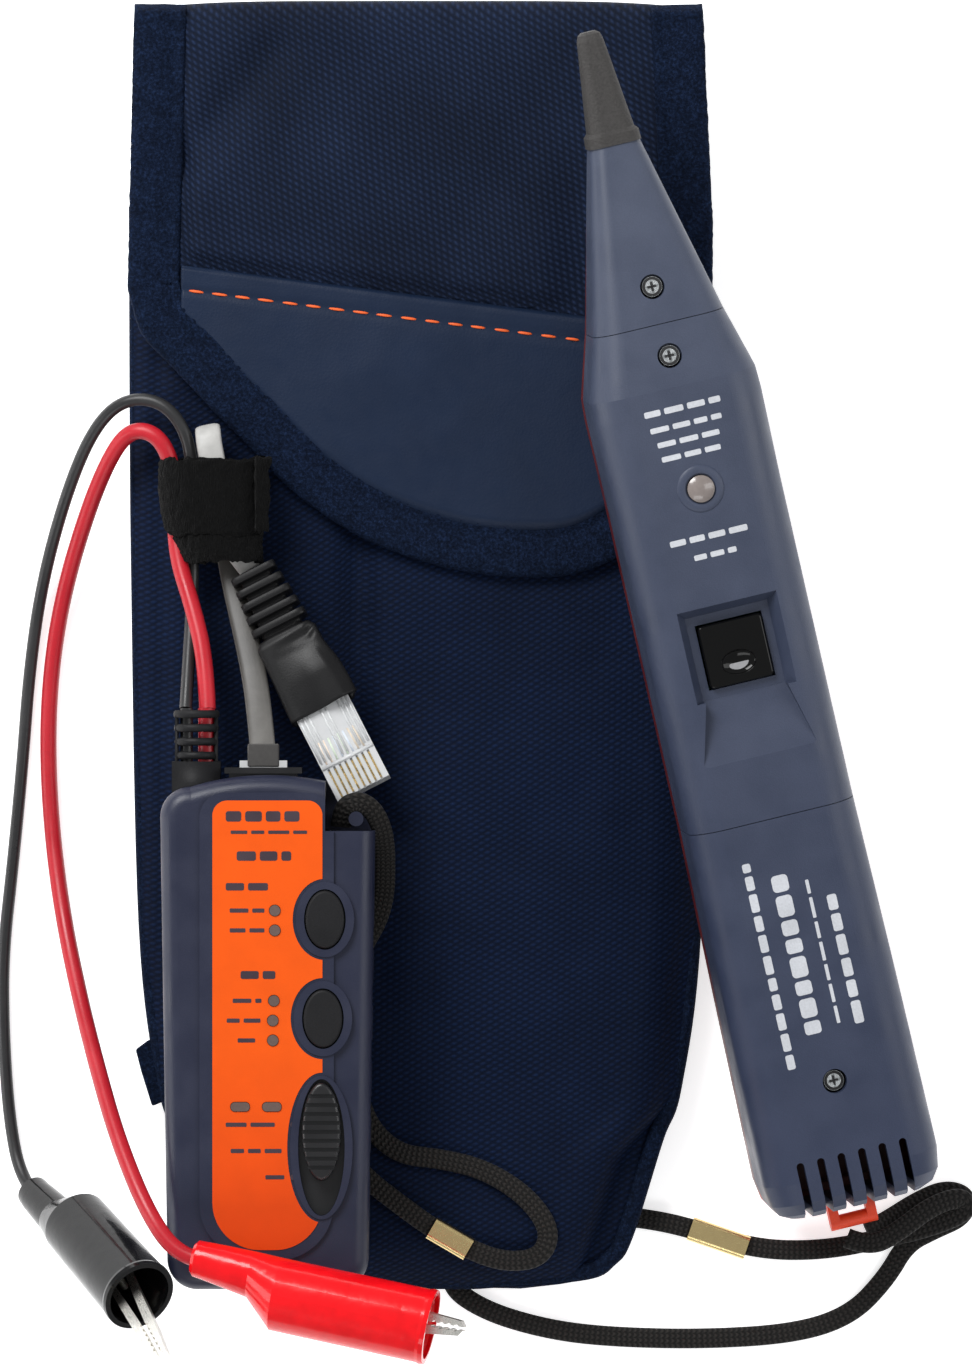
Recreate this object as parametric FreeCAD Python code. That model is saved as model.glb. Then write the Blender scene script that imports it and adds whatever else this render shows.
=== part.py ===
"""Tone probe kit: a tone generator and an inductive probe lying on their belt pouch.

Millimetres. +X to the right, +Y towards the pouch's top fold, +Z up from the table.
The origin is the middle of the belt loop's outer face, which rests on the table.
"""
import FreeCAD, Part
import math
import os
from FreeCAD import Placement, Rotation, Vector

# ---- pouch ----
LOOP_WEB = 1.2
LOOP_GAP = 4.4
BACK_UNDER = LOOP_WEB + LOOP_GAP
BACK_THICK = 1.6
BACK_TOP = BACK_UNDER + BACK_THICK
POCKET_TOP = 14.0
POCKET_WALL = 1.4
POCKET_MOUTH_Y = 80.0
PATCH = 0.5
FLAP_UNDER = 15.3
FLAP_TOP = 17.3
TAPE_TOP = 17.9
TAPE_WIDTH = 10.0
RIGHT_EDGE = [(57.8, 131.0), (59.6, 90), (59.2, 20), (57.6, -57), (53.6, -90), (49.8, -101),
              (43.5, -121), (40.0, -126.4), (33.8, -129.6), (12, -131.4)]
FLAP_EDGE = [(-58.3, 128.6), (-59.3, 73), (-56.5, 64), (-50.5, 57.5), (-43, 49.4), (-35.5, 41.8),
             (-25.6, 31.8), (-14.8, 24.2), (-3.7, 19.1), (9, 15.6), (22.5, 14.4), (34, 15.8),
             (45, 21.5), (54, 30), (58.8, 41), (59.5, 85), (57.8, 128.6)]

# ---- probe: local +Y runs from tail to tip, +Z out of its face ----
PROBE_LENGTH = 244.2
PROBE_THICK = 28.0
PROBE_SPLIT = 10.0
PROBE_WALL = 1.8
SEAM_BATTERY = 81.8
SEAM_NOSE = 184.4
TIP_BASE = 221.0
# y, half width, underside, face, corner radius
PROBE_SECTIONS = [(0, 14.2, 4.0, 23.6, 6.0), (1.2, 16.2, 2.0, 26.0, 6.5), (3.6, 17.6, 0.6, 27.5, 6.8),
                  (8, 18.3, 0.0, 28.0, 7.0), (45, 17.9, 0.0, 28.0, 7.0), (81.8, 17.3, 0.0, 28.0, 7.0),
                  (150, 17.2, 0.0, 28.0, 7.0), (167, 17.4, 0.3, 28.0, 7.0), (171.5, 17.2, 0.6, 27.9, 7.0),
                  (174.5, 16.4, 1.2, 27.4, 6.8), (184.4, 13.6, 3.2, 25.4, 5.6), (221.0, 5.2, 8.4, 18.6, 3.0)]
LOOP_BAR_Y = -5.0
LOOP_BAR_Z = 7.5
LOOP_BAR_R = 1.5
LOOP_HALF = 4.9
LOOP_OPENING = 2.9
VENT_HALF = 0.8
NOSE_SCREW_FROM_Y = 185.0
PROBE_BUTTON_Y = 116.3
PROBE_BUTTON_SIZE = (13.3, 12.9)
PROBE_SCREWS_Y = (26.6, 177.8, 191.9)
PROBE_LENS_Y = 150.3
PROBE_HEADING = 12.9
PROBE_PITCH = 6.5
PROBE_ROLL = 6.0
PROBE_TAIL_MIDDLE = Vector(88.3, -112.6, 16.45)

# ---- tone generator: local +Y towards the cord end, +Z out of its face, origin mid back ----
TONER_AT = Vector(-30.6, -77.9, 16.6)
TONER_THICK = 26.0
TONER_SPLIT = 12.0
TONER_WALL = 2.0
TONER_PAD = 0.8
TONER_HALF_TOP = 21.7
TONER_HALF_BOTTOM = 20.2
TONER_TOP_Y = 49.5
TONER_BOTTOM_Y = -52.0
KEY_OVALS = [(11.6, 22.8), (11.2, 2.8)]
KEY_RADII = (3.95, 5.85)
KEY_RING = (5.9, 7.6)
SLIDE_AT = (10.9, -23.2)
SLIDE_RING = (6.3, 14.5)
SLIDE_SLOT = (4.7, 13.8)
KNOB_Y = -20.0
KNOB_RADII = (3.9, 9.9)
LAMPS = [(1.5, 24.6), (1.5, 20.6), (1.3, 6.4), (1.1, 2.4), (1.1, -1.6)]
BAR_LAMPS = [(-5.5, -15.0), (0.9, -15.0)]
JACK_X = -1.0
RELIEF_X = -14.6
CORD_Z = 13.0
RELIEF_END_Y = 65.2
PLUG_END_Y = 54.8

# ---- leads, cords and what is on them ----
BLACK_LEAD_D = 2.6
RED_LEAD_D = 3.4
LINE_CORD = (5.2, 2.0)
LANYARD_D = 2.2
BLACK_CLIP = (Vector(-77.7, -109.4, 8.0), Vector(-56.2, -131.3, 43.2))
RED_CLIP = (Vector(-46.2, -126.5, 51.2), Vector(1.9, -136.5, 58.2))
# each jaw pair: where its pivot sits, and its tip
BLACK_JAWS = (Vector(-60.6, -127.9, 36.4), Vector(-51.3, -143.5, 53.6))
RED_JAWS = (Vector(-12.2, -133.3, 56.2), Vector(10.0, -137.0, 59.5))
JAW_ROLL = -90.0
# tip and tail from the pivot, and the handles' rise
RED_JAW_SIZES = (22.0, -15.0, 3.0)
BLACK_JAW_SIZES = (25.0, -12.0, 2.2)
BOOT_WALL = 1.1
# x, radius, sideways offset
RED_BOOT = [(0, 2.95, 3.6), (0.7, 3.7, 3.6), (3, 3.9, 3.5), (12.3, 4.7, 2.8), (18.2, 7.4, 0), (48.6, 7.5, 0),
            (49.3, 7.7, 0), (50.2, 7.6, 0)]
BLACK_BOOT = [(0, 2.55, -2.4), (0.7, 3.4, -2.4), (3, 3.6, -2.4), (11.5, 4.2, -2.0), (17, 7.0, 0),
              (44.6, 7.5, 0),
              (45.3, 7.7, 0), (46.2, 7.6, 0)]
PLUG_AXIS = (Vector(-34.2, 15.8, 21), Vector(-10.2, -31.0, 27.6))
PLUG_BOOT_LENGTH = 32.0
PLUG_NOSE = 50.8

BLACK_ROUTE = [(-47.4, -12.7, 29.6), (-46.9, -3, 25), (-46.4, 7, 20.4), (-46.2, 18.5, 19.2),
               (-46.2, 31.5, 19.6), (-46.9, 42.9, 20.2), (-52.2, 50, 20), (-60.2, 50.6, 18),
               (-66.6, 44.6, 15), (-72.4, 31.2, 9), (-77.6, 12.7, 3), (-80.2, -5.7, 1.5),
               (-81.4, -22.5, 1.4), (-83.4, -43.6, 1.5), (-85.6, -63.1, 1.4), (-85.4, -80.5, 1.6),
               (-84.2, -97, 1.9), (-81.9, -108.5, 3.9), (-79.0, -111.5, 8.7)]
RED_ROUTE = [(-43, -12.7, 29.6), (-43.4, -3, 27.8), (-45.9, 7.5, 24.7), (-49.5, 18.5, 21.3),
             (-49.8, 29.5, 20), (-50.4, 37.6, 20), (-53.4, 43.2, 20.2), (-58.4, 44.4, 19),
             (-62.6, 40, 15.6), (-67.8, 28.4, 9), (-73.2, 10.8, 3.4), (-75.8, -5.7, 2.1),
             (-76.4, -22.1, 2.0), (-75.3, -39.5, 3.2), (-72.9, -55.8, 8), (-69.2, -72, 17),
             (-65.2, -86.2, 28), (-61, -99.4, 38.4), (-55, -113.4, 48.2), (-49.0, -122.2, 50.7),
             (-44.6, -123.2, 51.3)]
LINE_ROUTE = [(-31.6, -23.1, 29.6), (-32.6, -11, 27.6), (-34.8, 0.3, 23.4), (-37.6, 12, 18.8),
              (-40, 25, 17.2), (-42.2, 36, 17.4), (-43, 41.4, 17.8), (-43.2, 44.3, 19),
              (-43.1, 44.2, 21.6), (-42.8, 41.2, 22.9), (-41.4, 34, 23.4), (-39.8, 26.4, 23),
              (-38.2, 20.6, 22.4), (-34.2, 15.8, 21)]
PROBE_LANYARD_ROUTE = [(91.6, -119.4, 8.8), (95.4, -117.6, 5.8), (101.6, -113.8, 2.6), (107.6, -111.2, 1.4),
                       (112.2, -112.6, 1.2), (111.4, -116.8, 1.2), (105.4, -119.4, 1.2), (99.6, -122.4, 1.2),
                       (95.6, -129.4, 1.2), (88.4, -137, 1.2), (76.9, -140.8, 1.2), (57.4, -142, 1.2),
                       (36.9, -141.4, 1.2), (24.6, -139.6, 1.2), (13, -136, 1.2), (5.6, -130.8, 1.2),
                       (7.6, -123.4, 1.2), (17, -118.2, 1.2), (30, -116.2, 1.2), (42, -116.6, 1.4),
                       (54, -118.6, 2), (68, -123.4, 2.2), (82, -123.8, 2.6), (96, -121.0, 3.6),
                       (106.4, -118.2, 4), (112.2, -115.4, 4.2), (111, -112.4, 5.2),
                       (104.6, -114.4, 7), (98, -119.4, 8.8), (92, -122.8, 9.6), (87.2, -120.8, 9.4)]
TONER_LANYARD_ROUTE = [(-15.9, -36.4, 32.4), (-15.6, -32.6, 33.8), (-12.4, -31.2, 34), (-9.4, -33, 33),
                       (-7.6, -36.8, 30), (-7, -41, 25.4), (-7, -45.6, 20.6), (-7.2, -50.6, 16.8),
                       (-8.6, -56, 15.3), (-12.6, -62.6, 15.3), (-14.2, -74, 15.3), (-14, -86, 15.3),
                       (-11, -97.4, 15.3), (-4.4, -103.6, 15.3), (4.2, -104.4, 15.3), (13.3, -106.6, 15.3),
                       (21.8, -112, 15.3), (26.8, -119, 15.3), (24.8, -124.6, 15.3),
                       (17.6, -125.6, 15.6), (9.8, -122.8, 15.9), (2.6, -118.6, 15.9),
                       (-4.6, -113.4, 15.3), (-12, -107.6, 15.3), (-18.4, -99, 15.3),
                       (-20.6, -86, 15.3), (-20.4, -74, 15.3), (-18.4, -64, 15.3), (-13.2, -57, 15.3)]

CLEAR = 0.15
EPS = 1e-6


# ------------------------------------------------------------------ helpers
def at_z(points, z):
    return [Vector(x, y, z) for x, y in points]


def face(points, z=0.0):
    ring = at_z(points, z)
    return Part.Face(Part.makePolygon(ring + ring[:1]))


def slab(points, z0, z1):
    return face(points, z0).extrude(Vector(0, 0, z1 - z0))


def inset_points(points, distance):
    """The same closed outline, each side moved inwards by distance."""
    count = len(points)
    area = sum(points[i - 1][0] * points[i][1] - points[i][0] * points[i - 1][1] for i in range(count))
    turn = 1.0 if area > 0 else -1.0
    moved = []
    for i in range(count):
        before, here, after = points[i - 1], points[i], points[(i + 1) % count]
        a = Vector(here[0] - before[0], here[1] - before[1], 0).normalize()
        b = Vector(after[0] - here[0], after[1] - here[1], 0).normalize()
        na = Vector(-a.y, a.x, 0) * turn
        nb = Vector(-b.y, b.x, 0) * turn
        middle = na + nb
        shift = middle * (distance / (1.0 + na.dot(nb)))
        moved.append((here[0] + shift.x, here[1] + shift.y))
    return moved


def tapered(low, high, z0, z1):
    """A solid between two outlines with the same number of points."""
    wires = [Part.makePolygon(at_z(ring, z) + at_z(ring, z)[:1]) for ring, z in ((low, z0), (high, z1))]
    return Part.makeLoft(wires, True, True)


def box(x0, x1, y0, y1, z0, z1):
    return Part.makeBox(x1 - x0, y1 - y0, z1 - z0, Vector(x0, y0, z0))


def soft_box(x0, x1, y0, y1, z0, z1, radius):
    """A box whose upright edges are rounded."""
    solid = box(x0, x1, y0, y1, z0, z1)
    upright = [e for e in solid.Edges if abs(e.tangentAt(e.FirstParameter).z) > 0.99]
    return solid.makeFillet(radius, upright)


def panel_box(x0, x1, y0, y1, z0, z1, top_radius, low_radius):
    """A box with rounder lower corners than upper ones."""
    solid = box(x0, x1, y0, y1, z0, z1)
    upright = [e for e in solid.Edges if abs(e.tangentAt(e.FirstParameter).z) > 0.99]
    solid = solid.makeFillet(top_radius, [e for e in upright if e.BoundBox.YMin > y1 - 1])
    upright = [e for e in solid.Edges if abs(e.tangentAt(e.FirstParameter).z) > 0.99]
    return solid.makeFillet(low_radius, [e for e in upright if e.BoundBox.YMax < y0 + 1])


def rounded(solid, radius, z):
    """Rounds the outer edges that lie in the plane at height z."""
    edges = [e for e in solid.Edges if abs(e.BoundBox.ZMin - z) < EPS and abs(e.BoundBox.ZMax - z) < EPS]
    return solid.makeFillet(radius, edges)


def rod(base, direction, radius, length):
    return Part.makeCylinder(radius, length, base, direction)


def oval(x, y, rx, ry, z0, z1):
    """An upright elliptical prism, longer along Y."""
    curve = Part.Ellipse(Vector(x, y + ry, z0), Vector(x + rx, y, z0), Vector(x, y, z0))
    return Part.Face(Part.Wire(curve.toShape())).extrude(Vector(0, 0, z1 - z0))


def section(y, half, low, high, radius):
    """A rounded rectangle across the probe at y."""
    r = radius
    arcs = []
    for cx, cz, start in ((half - r, high - r, 0), (-half + r, high - r, 90),
                          (-half + r, low + r, 180), (half - r, low + r, 270)):
        ends = [math.radians(start + step) for step in (0, 45, 90)]
        arcs.append([Vector(cx + r * math.cos(a), y, cz + r * math.sin(a)) for a in ends])
    edges = []
    for i, (first, middle, last) in enumerate(arcs):
        edges.append(Part.Arc(first, middle, last).toShape())
        edges.append(Part.LineSegment(last, arcs[(i + 1) % 4][0]).toShape())
    return Part.Wire(edges)


def loft_sections(rows):
    return Part.makeLoft([section(*row) for row in rows], True, True)


def path_wire(name, points, smallest):
    """Straight runs joined by tangent arcs, each as large as its two runs allow."""
    route = [Vector(*p) for p in points]
    edges = []
    start = route[0]
    radii = []
    for before, here, after in zip(route, route[1:], route[2:]):
        run_in, run_out = here - before, after - here
        shorter = min(run_in.Length, run_out.Length)
        d_in, d_out = Vector(run_in).normalize(), Vector(run_out).normalize()
        turn = d_in.getAngle(d_out)
        tangent = 0.45 * shorter
        radius = tangent / math.tan(turn / 2)
        first, last = here - d_in * tangent, here + d_out * tangent
        bisector = (d_out - d_in).normalize()
        middle = here + bisector * (radius / math.cos(turn / 2) - radius)
        edges.append(Part.LineSegment(start, first).toShape())
        edges.append(Part.Arc(first, middle, last).toShape())
        start = last
        radii.append(radius)
    edges.append(Part.LineSegment(start, route[-1]).toShape())
    wire = Part.Wire(edges)
    print(f"{name}: length {wire.Length:.1f}, smallest radius {min(radii):.1f} (section {smallest}), "
          f"radii {[round(r, 1) for r in radii]}")
    return wire


def tube(name, points, diameter):
    wire = path_wire(name, points, diameter)
    start = Vector(*points[0])
    along = (Vector(*points[1]) - start).normalize()
    ring = Part.Wire(Part.Circle(start, along, diameter / 2).toShape())
    sweep = Part.BRepOffsetAPI.MakePipeShell(wire)
    sweep.setFrenetMode(False)
    sweep.add(ring)
    sweep.build()
    sweep.makeSolid()
    return report_volume(name, sweep.shape(), wire, math.pi * diameter ** 2 / 4)


def band(name, points, width, thickness, wide_axis):
    """A flat cord whose wide side lies along wide_axis all the way."""
    wire = path_wire(name, points, width)
    start = Vector(*points[0])
    along = (Vector(*points[1]) - start).normalize()
    up = wide_axis.cross(along).normalize()
    across = along.cross(up).normalize()
    corners = [start + across * (sx * width / 2) + up * (sz * thickness / 2)
               for sx, sz in ((-1, -1), (1, -1), (1, 1), (-1, 1))]
    ring = Part.makePolygon(corners + corners[:1])
    sweep = Part.BRepOffsetAPI.MakePipeShell(wire)
    sweep.setBiNormalMode(wide_axis)
    sweep.add(ring)
    sweep.build()
    sweep.makeSolid()
    return report_volume(name, sweep.shape(), wire, width * thickness)


def report_volume(name, solid, wire, area):
    print(f"{name}: volume {solid.Volume:.0f}, section x length {area * wire.Length:.0f}, "
          f"valid {solid.isValid()}")
    return solid


def along_axis(start, end, roll=0.0):
    """A placement whose local X runs from start towards end; local Y is level before the roll."""
    x = (end - start).normalize()
    y = Vector(0, 0, 1).cross(x).normalize()
    z = x.cross(y)
    turn = Rotation(x, y, z, "ZXY")
    return Placement(start, turn.multiply(Rotation(Vector(1, 0, 0), roll)))


def save(node, shape, place=None):
    solid = shape.copy()
    if place is not None:
        solid.transformShape(place.toMatrix(), True)
    solid.exportStep(f"parts/{node}.step")


def group(shapes):
    return Part.makeCompound(shapes)


# ------------------------------------------------------------------ pouch
def pouch_outline():
    left = [(-x, y) for x, y in RIGHT_EDGE]
    return RIGHT_EDGE + left[::-1]


def make_pouch():
    outline = pouch_outline()
    panel = inset_points(outline, 1.3)
    back = slab(panel, BACK_UNDER, BACK_TOP)
    hems = slab(panel, 0.0, BACK_UNDER).common(box(-70, 70, 122, 140, 0, BACK_UNDER))
    low_hem = slab(panel, 0.0, BACK_UNDER).common(box(-70, -2, -140, -118, 0, BACK_UNDER))
    save("back_panel", back.fuse([hems, low_hem]).removeSplitter())

    front = tapered(panel, inset_points(outline, 9.0), BACK_TOP, POCKET_TOP)
    front = front.common(box(-80, 80, -140, POCKET_MOUTH_Y, 0, 40))
    hollow = tapered(inset_points(outline, 2.8), inset_points(outline, 9.6), BACK_TOP, POCKET_TOP - POCKET_WALL)
    save("front_pockets", front.cut(hollow))

    divider = box(-13.1, -11.9, -119, POCKET_MOUTH_Y - 1, BACK_TOP, POCKET_TOP - POCKET_WALL)
    save("pocket_divider", divider)

    ring = slab(outline, BACK_UNDER - 0.6, BACK_TOP + 1.2).cut(slab(panel, 0, 40))
    ring = ring.cut(box(-70, 70, 127, 140, 0, 40))
    save("pouch_binding", ring)

    web = box(-25, 25, -35, 55, 0, LOOP_WEB)
    ends = [box(-25, 25, y, y + 2.4, LOOP_WEB, BACK_UNDER) for y in (-35, 52.6)]
    save("belt_loop", web.fuse(ends).removeSplitter())
    save("closure_loop_patch", soft_box(-14, 26, 27, 47, POCKET_TOP, POCKET_TOP + PATCH, 2))


def make_flap():
    cover = slab(FLAP_EDGE, FLAP_UNDER, FLAP_TOP)
    save("flap_cover", cover)
    inner = inset_points(FLAP_EDGE, TAPE_WIDTH)
    open_top = [(x, y if y < 100 else 140.0) for x, y in inner]
    save("flap_binding", slab(FLAP_EDGE, FLAP_TOP, TAPE_TOP).cut(slab(open_top, 0, 40)))
    label_zone = [(-60, 79.2), (-60, 0), (60, 0), (60, 64.0)]
    panel = slab(inset_points(FLAP_EDGE, TAPE_WIDTH + CLEAR), FLAP_TOP, TAPE_TOP - 0.2)
    save("flap_panel", panel.common(slab(label_zone, 0, 40)))
    save("closure_hook_patch", soft_box(-14, 26, 27, 47, FLAP_UNDER - PATCH, FLAP_UNDER, 2))


# ------------------------------------------------------------------ probe
def probe_place():
    turn = Rotation(Vector(0, 0, 1), PROBE_HEADING)
    turn = turn.multiply(Rotation(Vector(1, 0, 0), PROBE_PITCH))
    turn = turn.multiply(Rotation(Vector(0, 1, 0), PROBE_ROLL))
    middle = turn.multVec(Vector(0, 0, PROBE_THICK / 2))
    return Placement(PROBE_TAIL_MIDDLE - middle, turn)


def probe_hollow():
    rows = []
    for y, half, low, high, radius in PROBE_SECTIONS:
        if y in (0, 1.2, 3.6):
            continue
        inside = max(y, 8) if y < 200 else TIP_BASE - PROBE_WALL
        rows.append((inside, half - PROBE_WALL, low + PROBE_WALL, high - PROBE_WALL, radius - 1.2))
    rows[0] = (2.4,) + rows[0][1:]
    solid = loft_sections(rows)
    keep = box(-11.2, 11.2, 92, 130, 22.4, 30)
    return solid.cut(keep)


def button_recess():
    """A square well with slanted sides, and the finger ramp that leads down to it."""
    y = PROBE_BUTTON_Y
    low, high = 8.6, 10.4
    floor = [(-low, y - low), (low, y - low), (low, y + low), (-low, y + low)]
    rim = [(-high, y - low), (high, y - low), (high, y + high), (-high, y + high)]
    well = tapered(floor, rim, 24.4, 28.01)
    ramp_side = [Vector(0, y - low + 0.1, 24.4), Vector(0, y - 21.6, 28.01), Vector(0, y - low + 0.1, 28.01)]
    ramp = Part.Face(Part.makePolygon(ramp_side + ramp_side[:1])).extrude(Vector(30, 0, 0))
    ramp.translate(Vector(-15, 0, 0))
    sides = slab([(-8.4, y - 8), (-12, y - 22), (12, y - 22), (8.4, y - 8)], 20, 30)
    return well.fuse(ramp.common(sides))


def tail_vents():
    slots = []
    for i in range(6):
        x = (i - 2.5) * 4.3
        slots.append(box(x - VENT_HALF, x + VENT_HALF, -1, 11.2, PROBE_SPLIT + 2.2, 29))
        slots.append(rod(Vector(x, 11.2, PROBE_SPLIT + 2.2), Vector(0, 0, 1), VENT_HALF, 20))
    return slots


def screw_seat(y):
    return 25.0 if y < NOSE_SCREW_FROM_Y else 22.0


def make_probe():
    place = probe_place()
    outer = loft_sections(PROBE_SECTIONS)
    hollow = probe_hollow()
    skin = outer.cut(hollow)
    bores = []
    for y in PROBE_SCREWS_Y:
        bores.append(rod(Vector(0, y, 18), Vector(0, 0, 1), 1.5, 12))
        bores.append(rod(Vector(0, y, screw_seat(y)), Vector(0, 0, 1), 2.5, 6))
    lens_bore = rod(Vector(0, PROBE_LENS_Y, 20), Vector(0, 0, 1), 2.85, 12)
    bw, bl = PROBE_BUTTON_SIZE
    button_bore = box(-bw / 2 - 0.3, bw / 2 + 0.3, PROBE_BUTTON_Y - bl / 2 - 0.3,
                      PROBE_BUTTON_Y + bl / 2 + 0.3, 20, 30)
    above = box(-30, 30, -2, 230, PROBE_SPLIT + CLEAR, 40)
    below = box(-30, 30, -2, 230, -5, PROBE_SPLIT)
    front = skin.common(above).cut([button_recess(), lens_bore, button_bore] + bores + tail_vents())
    cuts = [("probe_battery_cover", -2, SEAM_BATTERY - CLEAR),
            ("probe_front_shell", SEAM_BATTERY, SEAM_NOSE - CLEAR),
            ("probe_nose_cover", SEAM_NOSE, 230)]
    for node, y0, y1 in cuts:
        save(node, front.common(box(-30, 30, y0, y1, -5, 40)), place)

    rear = skin.common(below)
    legs = box(-LOOP_HALF, LOOP_HALF, LOOP_BAR_Y, 4, LOOP_BAR_Z - LOOP_BAR_R, LOOP_BAR_Z + LOOP_BAR_R)
    legs = legs.cut(box(-LOOP_OPENING, LOOP_OPENING, LOOP_BAR_Y - 2, -0.4, 0, 20))
    bar = rod(Vector(-LOOP_HALF, LOOP_BAR_Y, LOOP_BAR_Z), Vector(1, 0, 0), LOOP_BAR_R, 2 * LOOP_HALF)
    save("probe_rear_shell", rear.fuse([legs, bar]).removeSplitter(), place)

    tip_rows = [(TIP_BASE + 0.02, 5.5, 8.2, 18.8, 3.0), (TIP_BASE + 2.2, 5.4, 8.4, 18.6, 3.0),
                (TIP_BASE + 3.0, 4.7, 8.9, 18.0, 2.6), (PROBE_LENGTH - 1.8, 2.6, 10.8, 16.0, 1.6),
                (PROBE_LENGTH - 0.5, 2.2, 11.2, 15.6, 1.4), (PROBE_LENGTH, 1.5, 11.9, 14.9, 1.0)]
    antenna_bore = rod(Vector(0, TIP_BASE - 1, 13.5), Vector(0, 1, 0), 2.05, 13)
    save("probe_tip", loft_sections(tip_rows).cut(antenna_bore), place)
    nose_wall = rod(Vector(0, 172, 13.5), Vector(0, 1, 0), 1.6, TIP_BASE + 11 - 172)
    save("probe_antenna", nose_wall.common(box(-5, 5, 172, TIP_BASE - 2.2, 0, 30)), place)

    screws = []
    for y in PROBE_SCREWS_Y:
        seat = screw_seat(y)
        head = rod(Vector(0, y, seat), Vector(0, 0, 1), 2.05, 1.5)
        for turn in (0, 90):
            slot = box(-1.3, 1.3, -0.3, 0.3, seat + 0.8, seat + 2)
            slot.rotate(Vector(0, 0, 0), Vector(0, 0, 1), turn)
            slot.translate(Vector(0, y, 0))
            head = head.cut(slot)
        screws.append(head.fuse(rod(Vector(0, y, seat - 4.5), Vector(0, 0, 1), 1.2, 4.5)).removeSplitter())
    save("probe_screws", group(screws), place)

    lens = rod(Vector(0, PROBE_LENS_Y, 24), Vector(0, 0, 1), 2.75, 4.2)
    dome = Part.makeSphere(5.0, Vector(0, PROBE_LENS_Y, 24.5)).common(
        rod(Vector(0, PROBE_LENS_Y, 28.2), Vector(0, 0, 1), 2.75, 2))
    save("probe_lens", lens.fuse(dome).removeSplitter(), place)

    key = soft_box(-bw / 2, bw / 2, PROBE_BUTTON_Y - bl / 2, PROBE_BUTTON_Y + bl / 2, 21.4, 25.9, 0.8)
    key = rounded(key, 0.5, 25.9)
    dish = Part.makeSphere(1.0)
    stretch = FreeCAD.Matrix()
    stretch.scale(3.7, 2.6, 1.3)
    dish = dish.transformGeometry(stretch)
    dish.translate(Vector(0, PROBE_BUTTON_Y - 2.2, 26.1))
    save("probe_button", key.cut(dish), place)

    board_z = 17.0
    board = box(-13.5, 13.5, 88, 168, board_z - 1.6, board_z)
    save("probe_circuit_board", board, place)
    switch = box(-3, 3, PROBE_BUTTON_Y - 3, PROBE_BUTTON_Y + 3, board_z, 20.3)
    save("probe_button_switch", group([switch]), place)
    save("probe_speaker", rod(Vector(0, 96, 4.0), Vector(0, 0, 1), 10.0, 5.0), place)
    save("probe_battery", soft_box(-13.2, 13.2, 14, 62.5, 3.0, 20.4, 2.4), place)
    snap = box(-12.4, 12.4, 62.6, 65.6, 4.0, 19.0)
    save("probe_battery_snap", snap, place)


# ------------------------------------------------------------------ tone generator
def toner_outline(inset=0.0):
    """Plan wire: straight tapered sides, round lower corners, arched top."""
    top, low = TONER_HALF_TOP - inset, TONER_HALF_BOTTOM - inset
    y1, y0, r = TONER_TOP_Y - inset, TONER_BOTTOM_Y + inset, 6.0 - inset * 0.6
    k = r * (1 - math.cos(math.pi / 4))
    crown = 2.4
    left_low = Vector(-low - 0.1, y0 + r, 0)
    pts = [Vector(-top, y1 - r, 0), left_low, Vector(-low + k, y0 + k, 0), Vector(-low + r, y0, 0),
           Vector(low - r, y0, 0), Vector(low - k, y0 + k, 0), Vector(low + 0.1, y0 + r, 0),
           Vector(top, y1 - r, 0), Vector(top - k, y1 - k, 0), Vector(top - r, y1, 0),
           Vector(0, y1 + crown, 0), Vector(-top + r, y1, 0), Vector(-top + k, y1 - k, 0)]
    edges = [Part.LineSegment(pts[0], pts[1]).toShape(), Part.Arc(pts[1], pts[2], pts[3]).toShape(),
             Part.LineSegment(pts[3], pts[4]).toShape(), Part.Arc(pts[4], pts[5], pts[6]).toShape(),
             Part.LineSegment(pts[6], pts[7]).toShape(), Part.Arc(pts[7], pts[8], pts[9]).toShape(),
             Part.Arc(pts[9], pts[10], pts[11]).toShape(), Part.Arc(pts[11], pts[12], pts[0]).toShape()]
    return Part.Wire(edges)


def toner_prism(inset, z0, z1):
    prism = Part.Face(toner_outline(inset)).extrude(Vector(0, 0, z1 - z0))
    prism.translate(Vector(0, 0, z0))
    return prism


def grip_scallops():
    """Shallow finger hollows down both sides."""
    cuts = []
    for side in (-1, 1):
        for i in range(5):
            y = 24 - i * 11.4
            x = side * (TONER_HALF_BOTTOM + 8.6 + (y + 45) * 0.015)
            cuts.append(rod(Vector(x, y - 5.7, 0), Vector(0, 0, 1), 8.9, TONER_THICK - 6))
    return cuts


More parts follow.
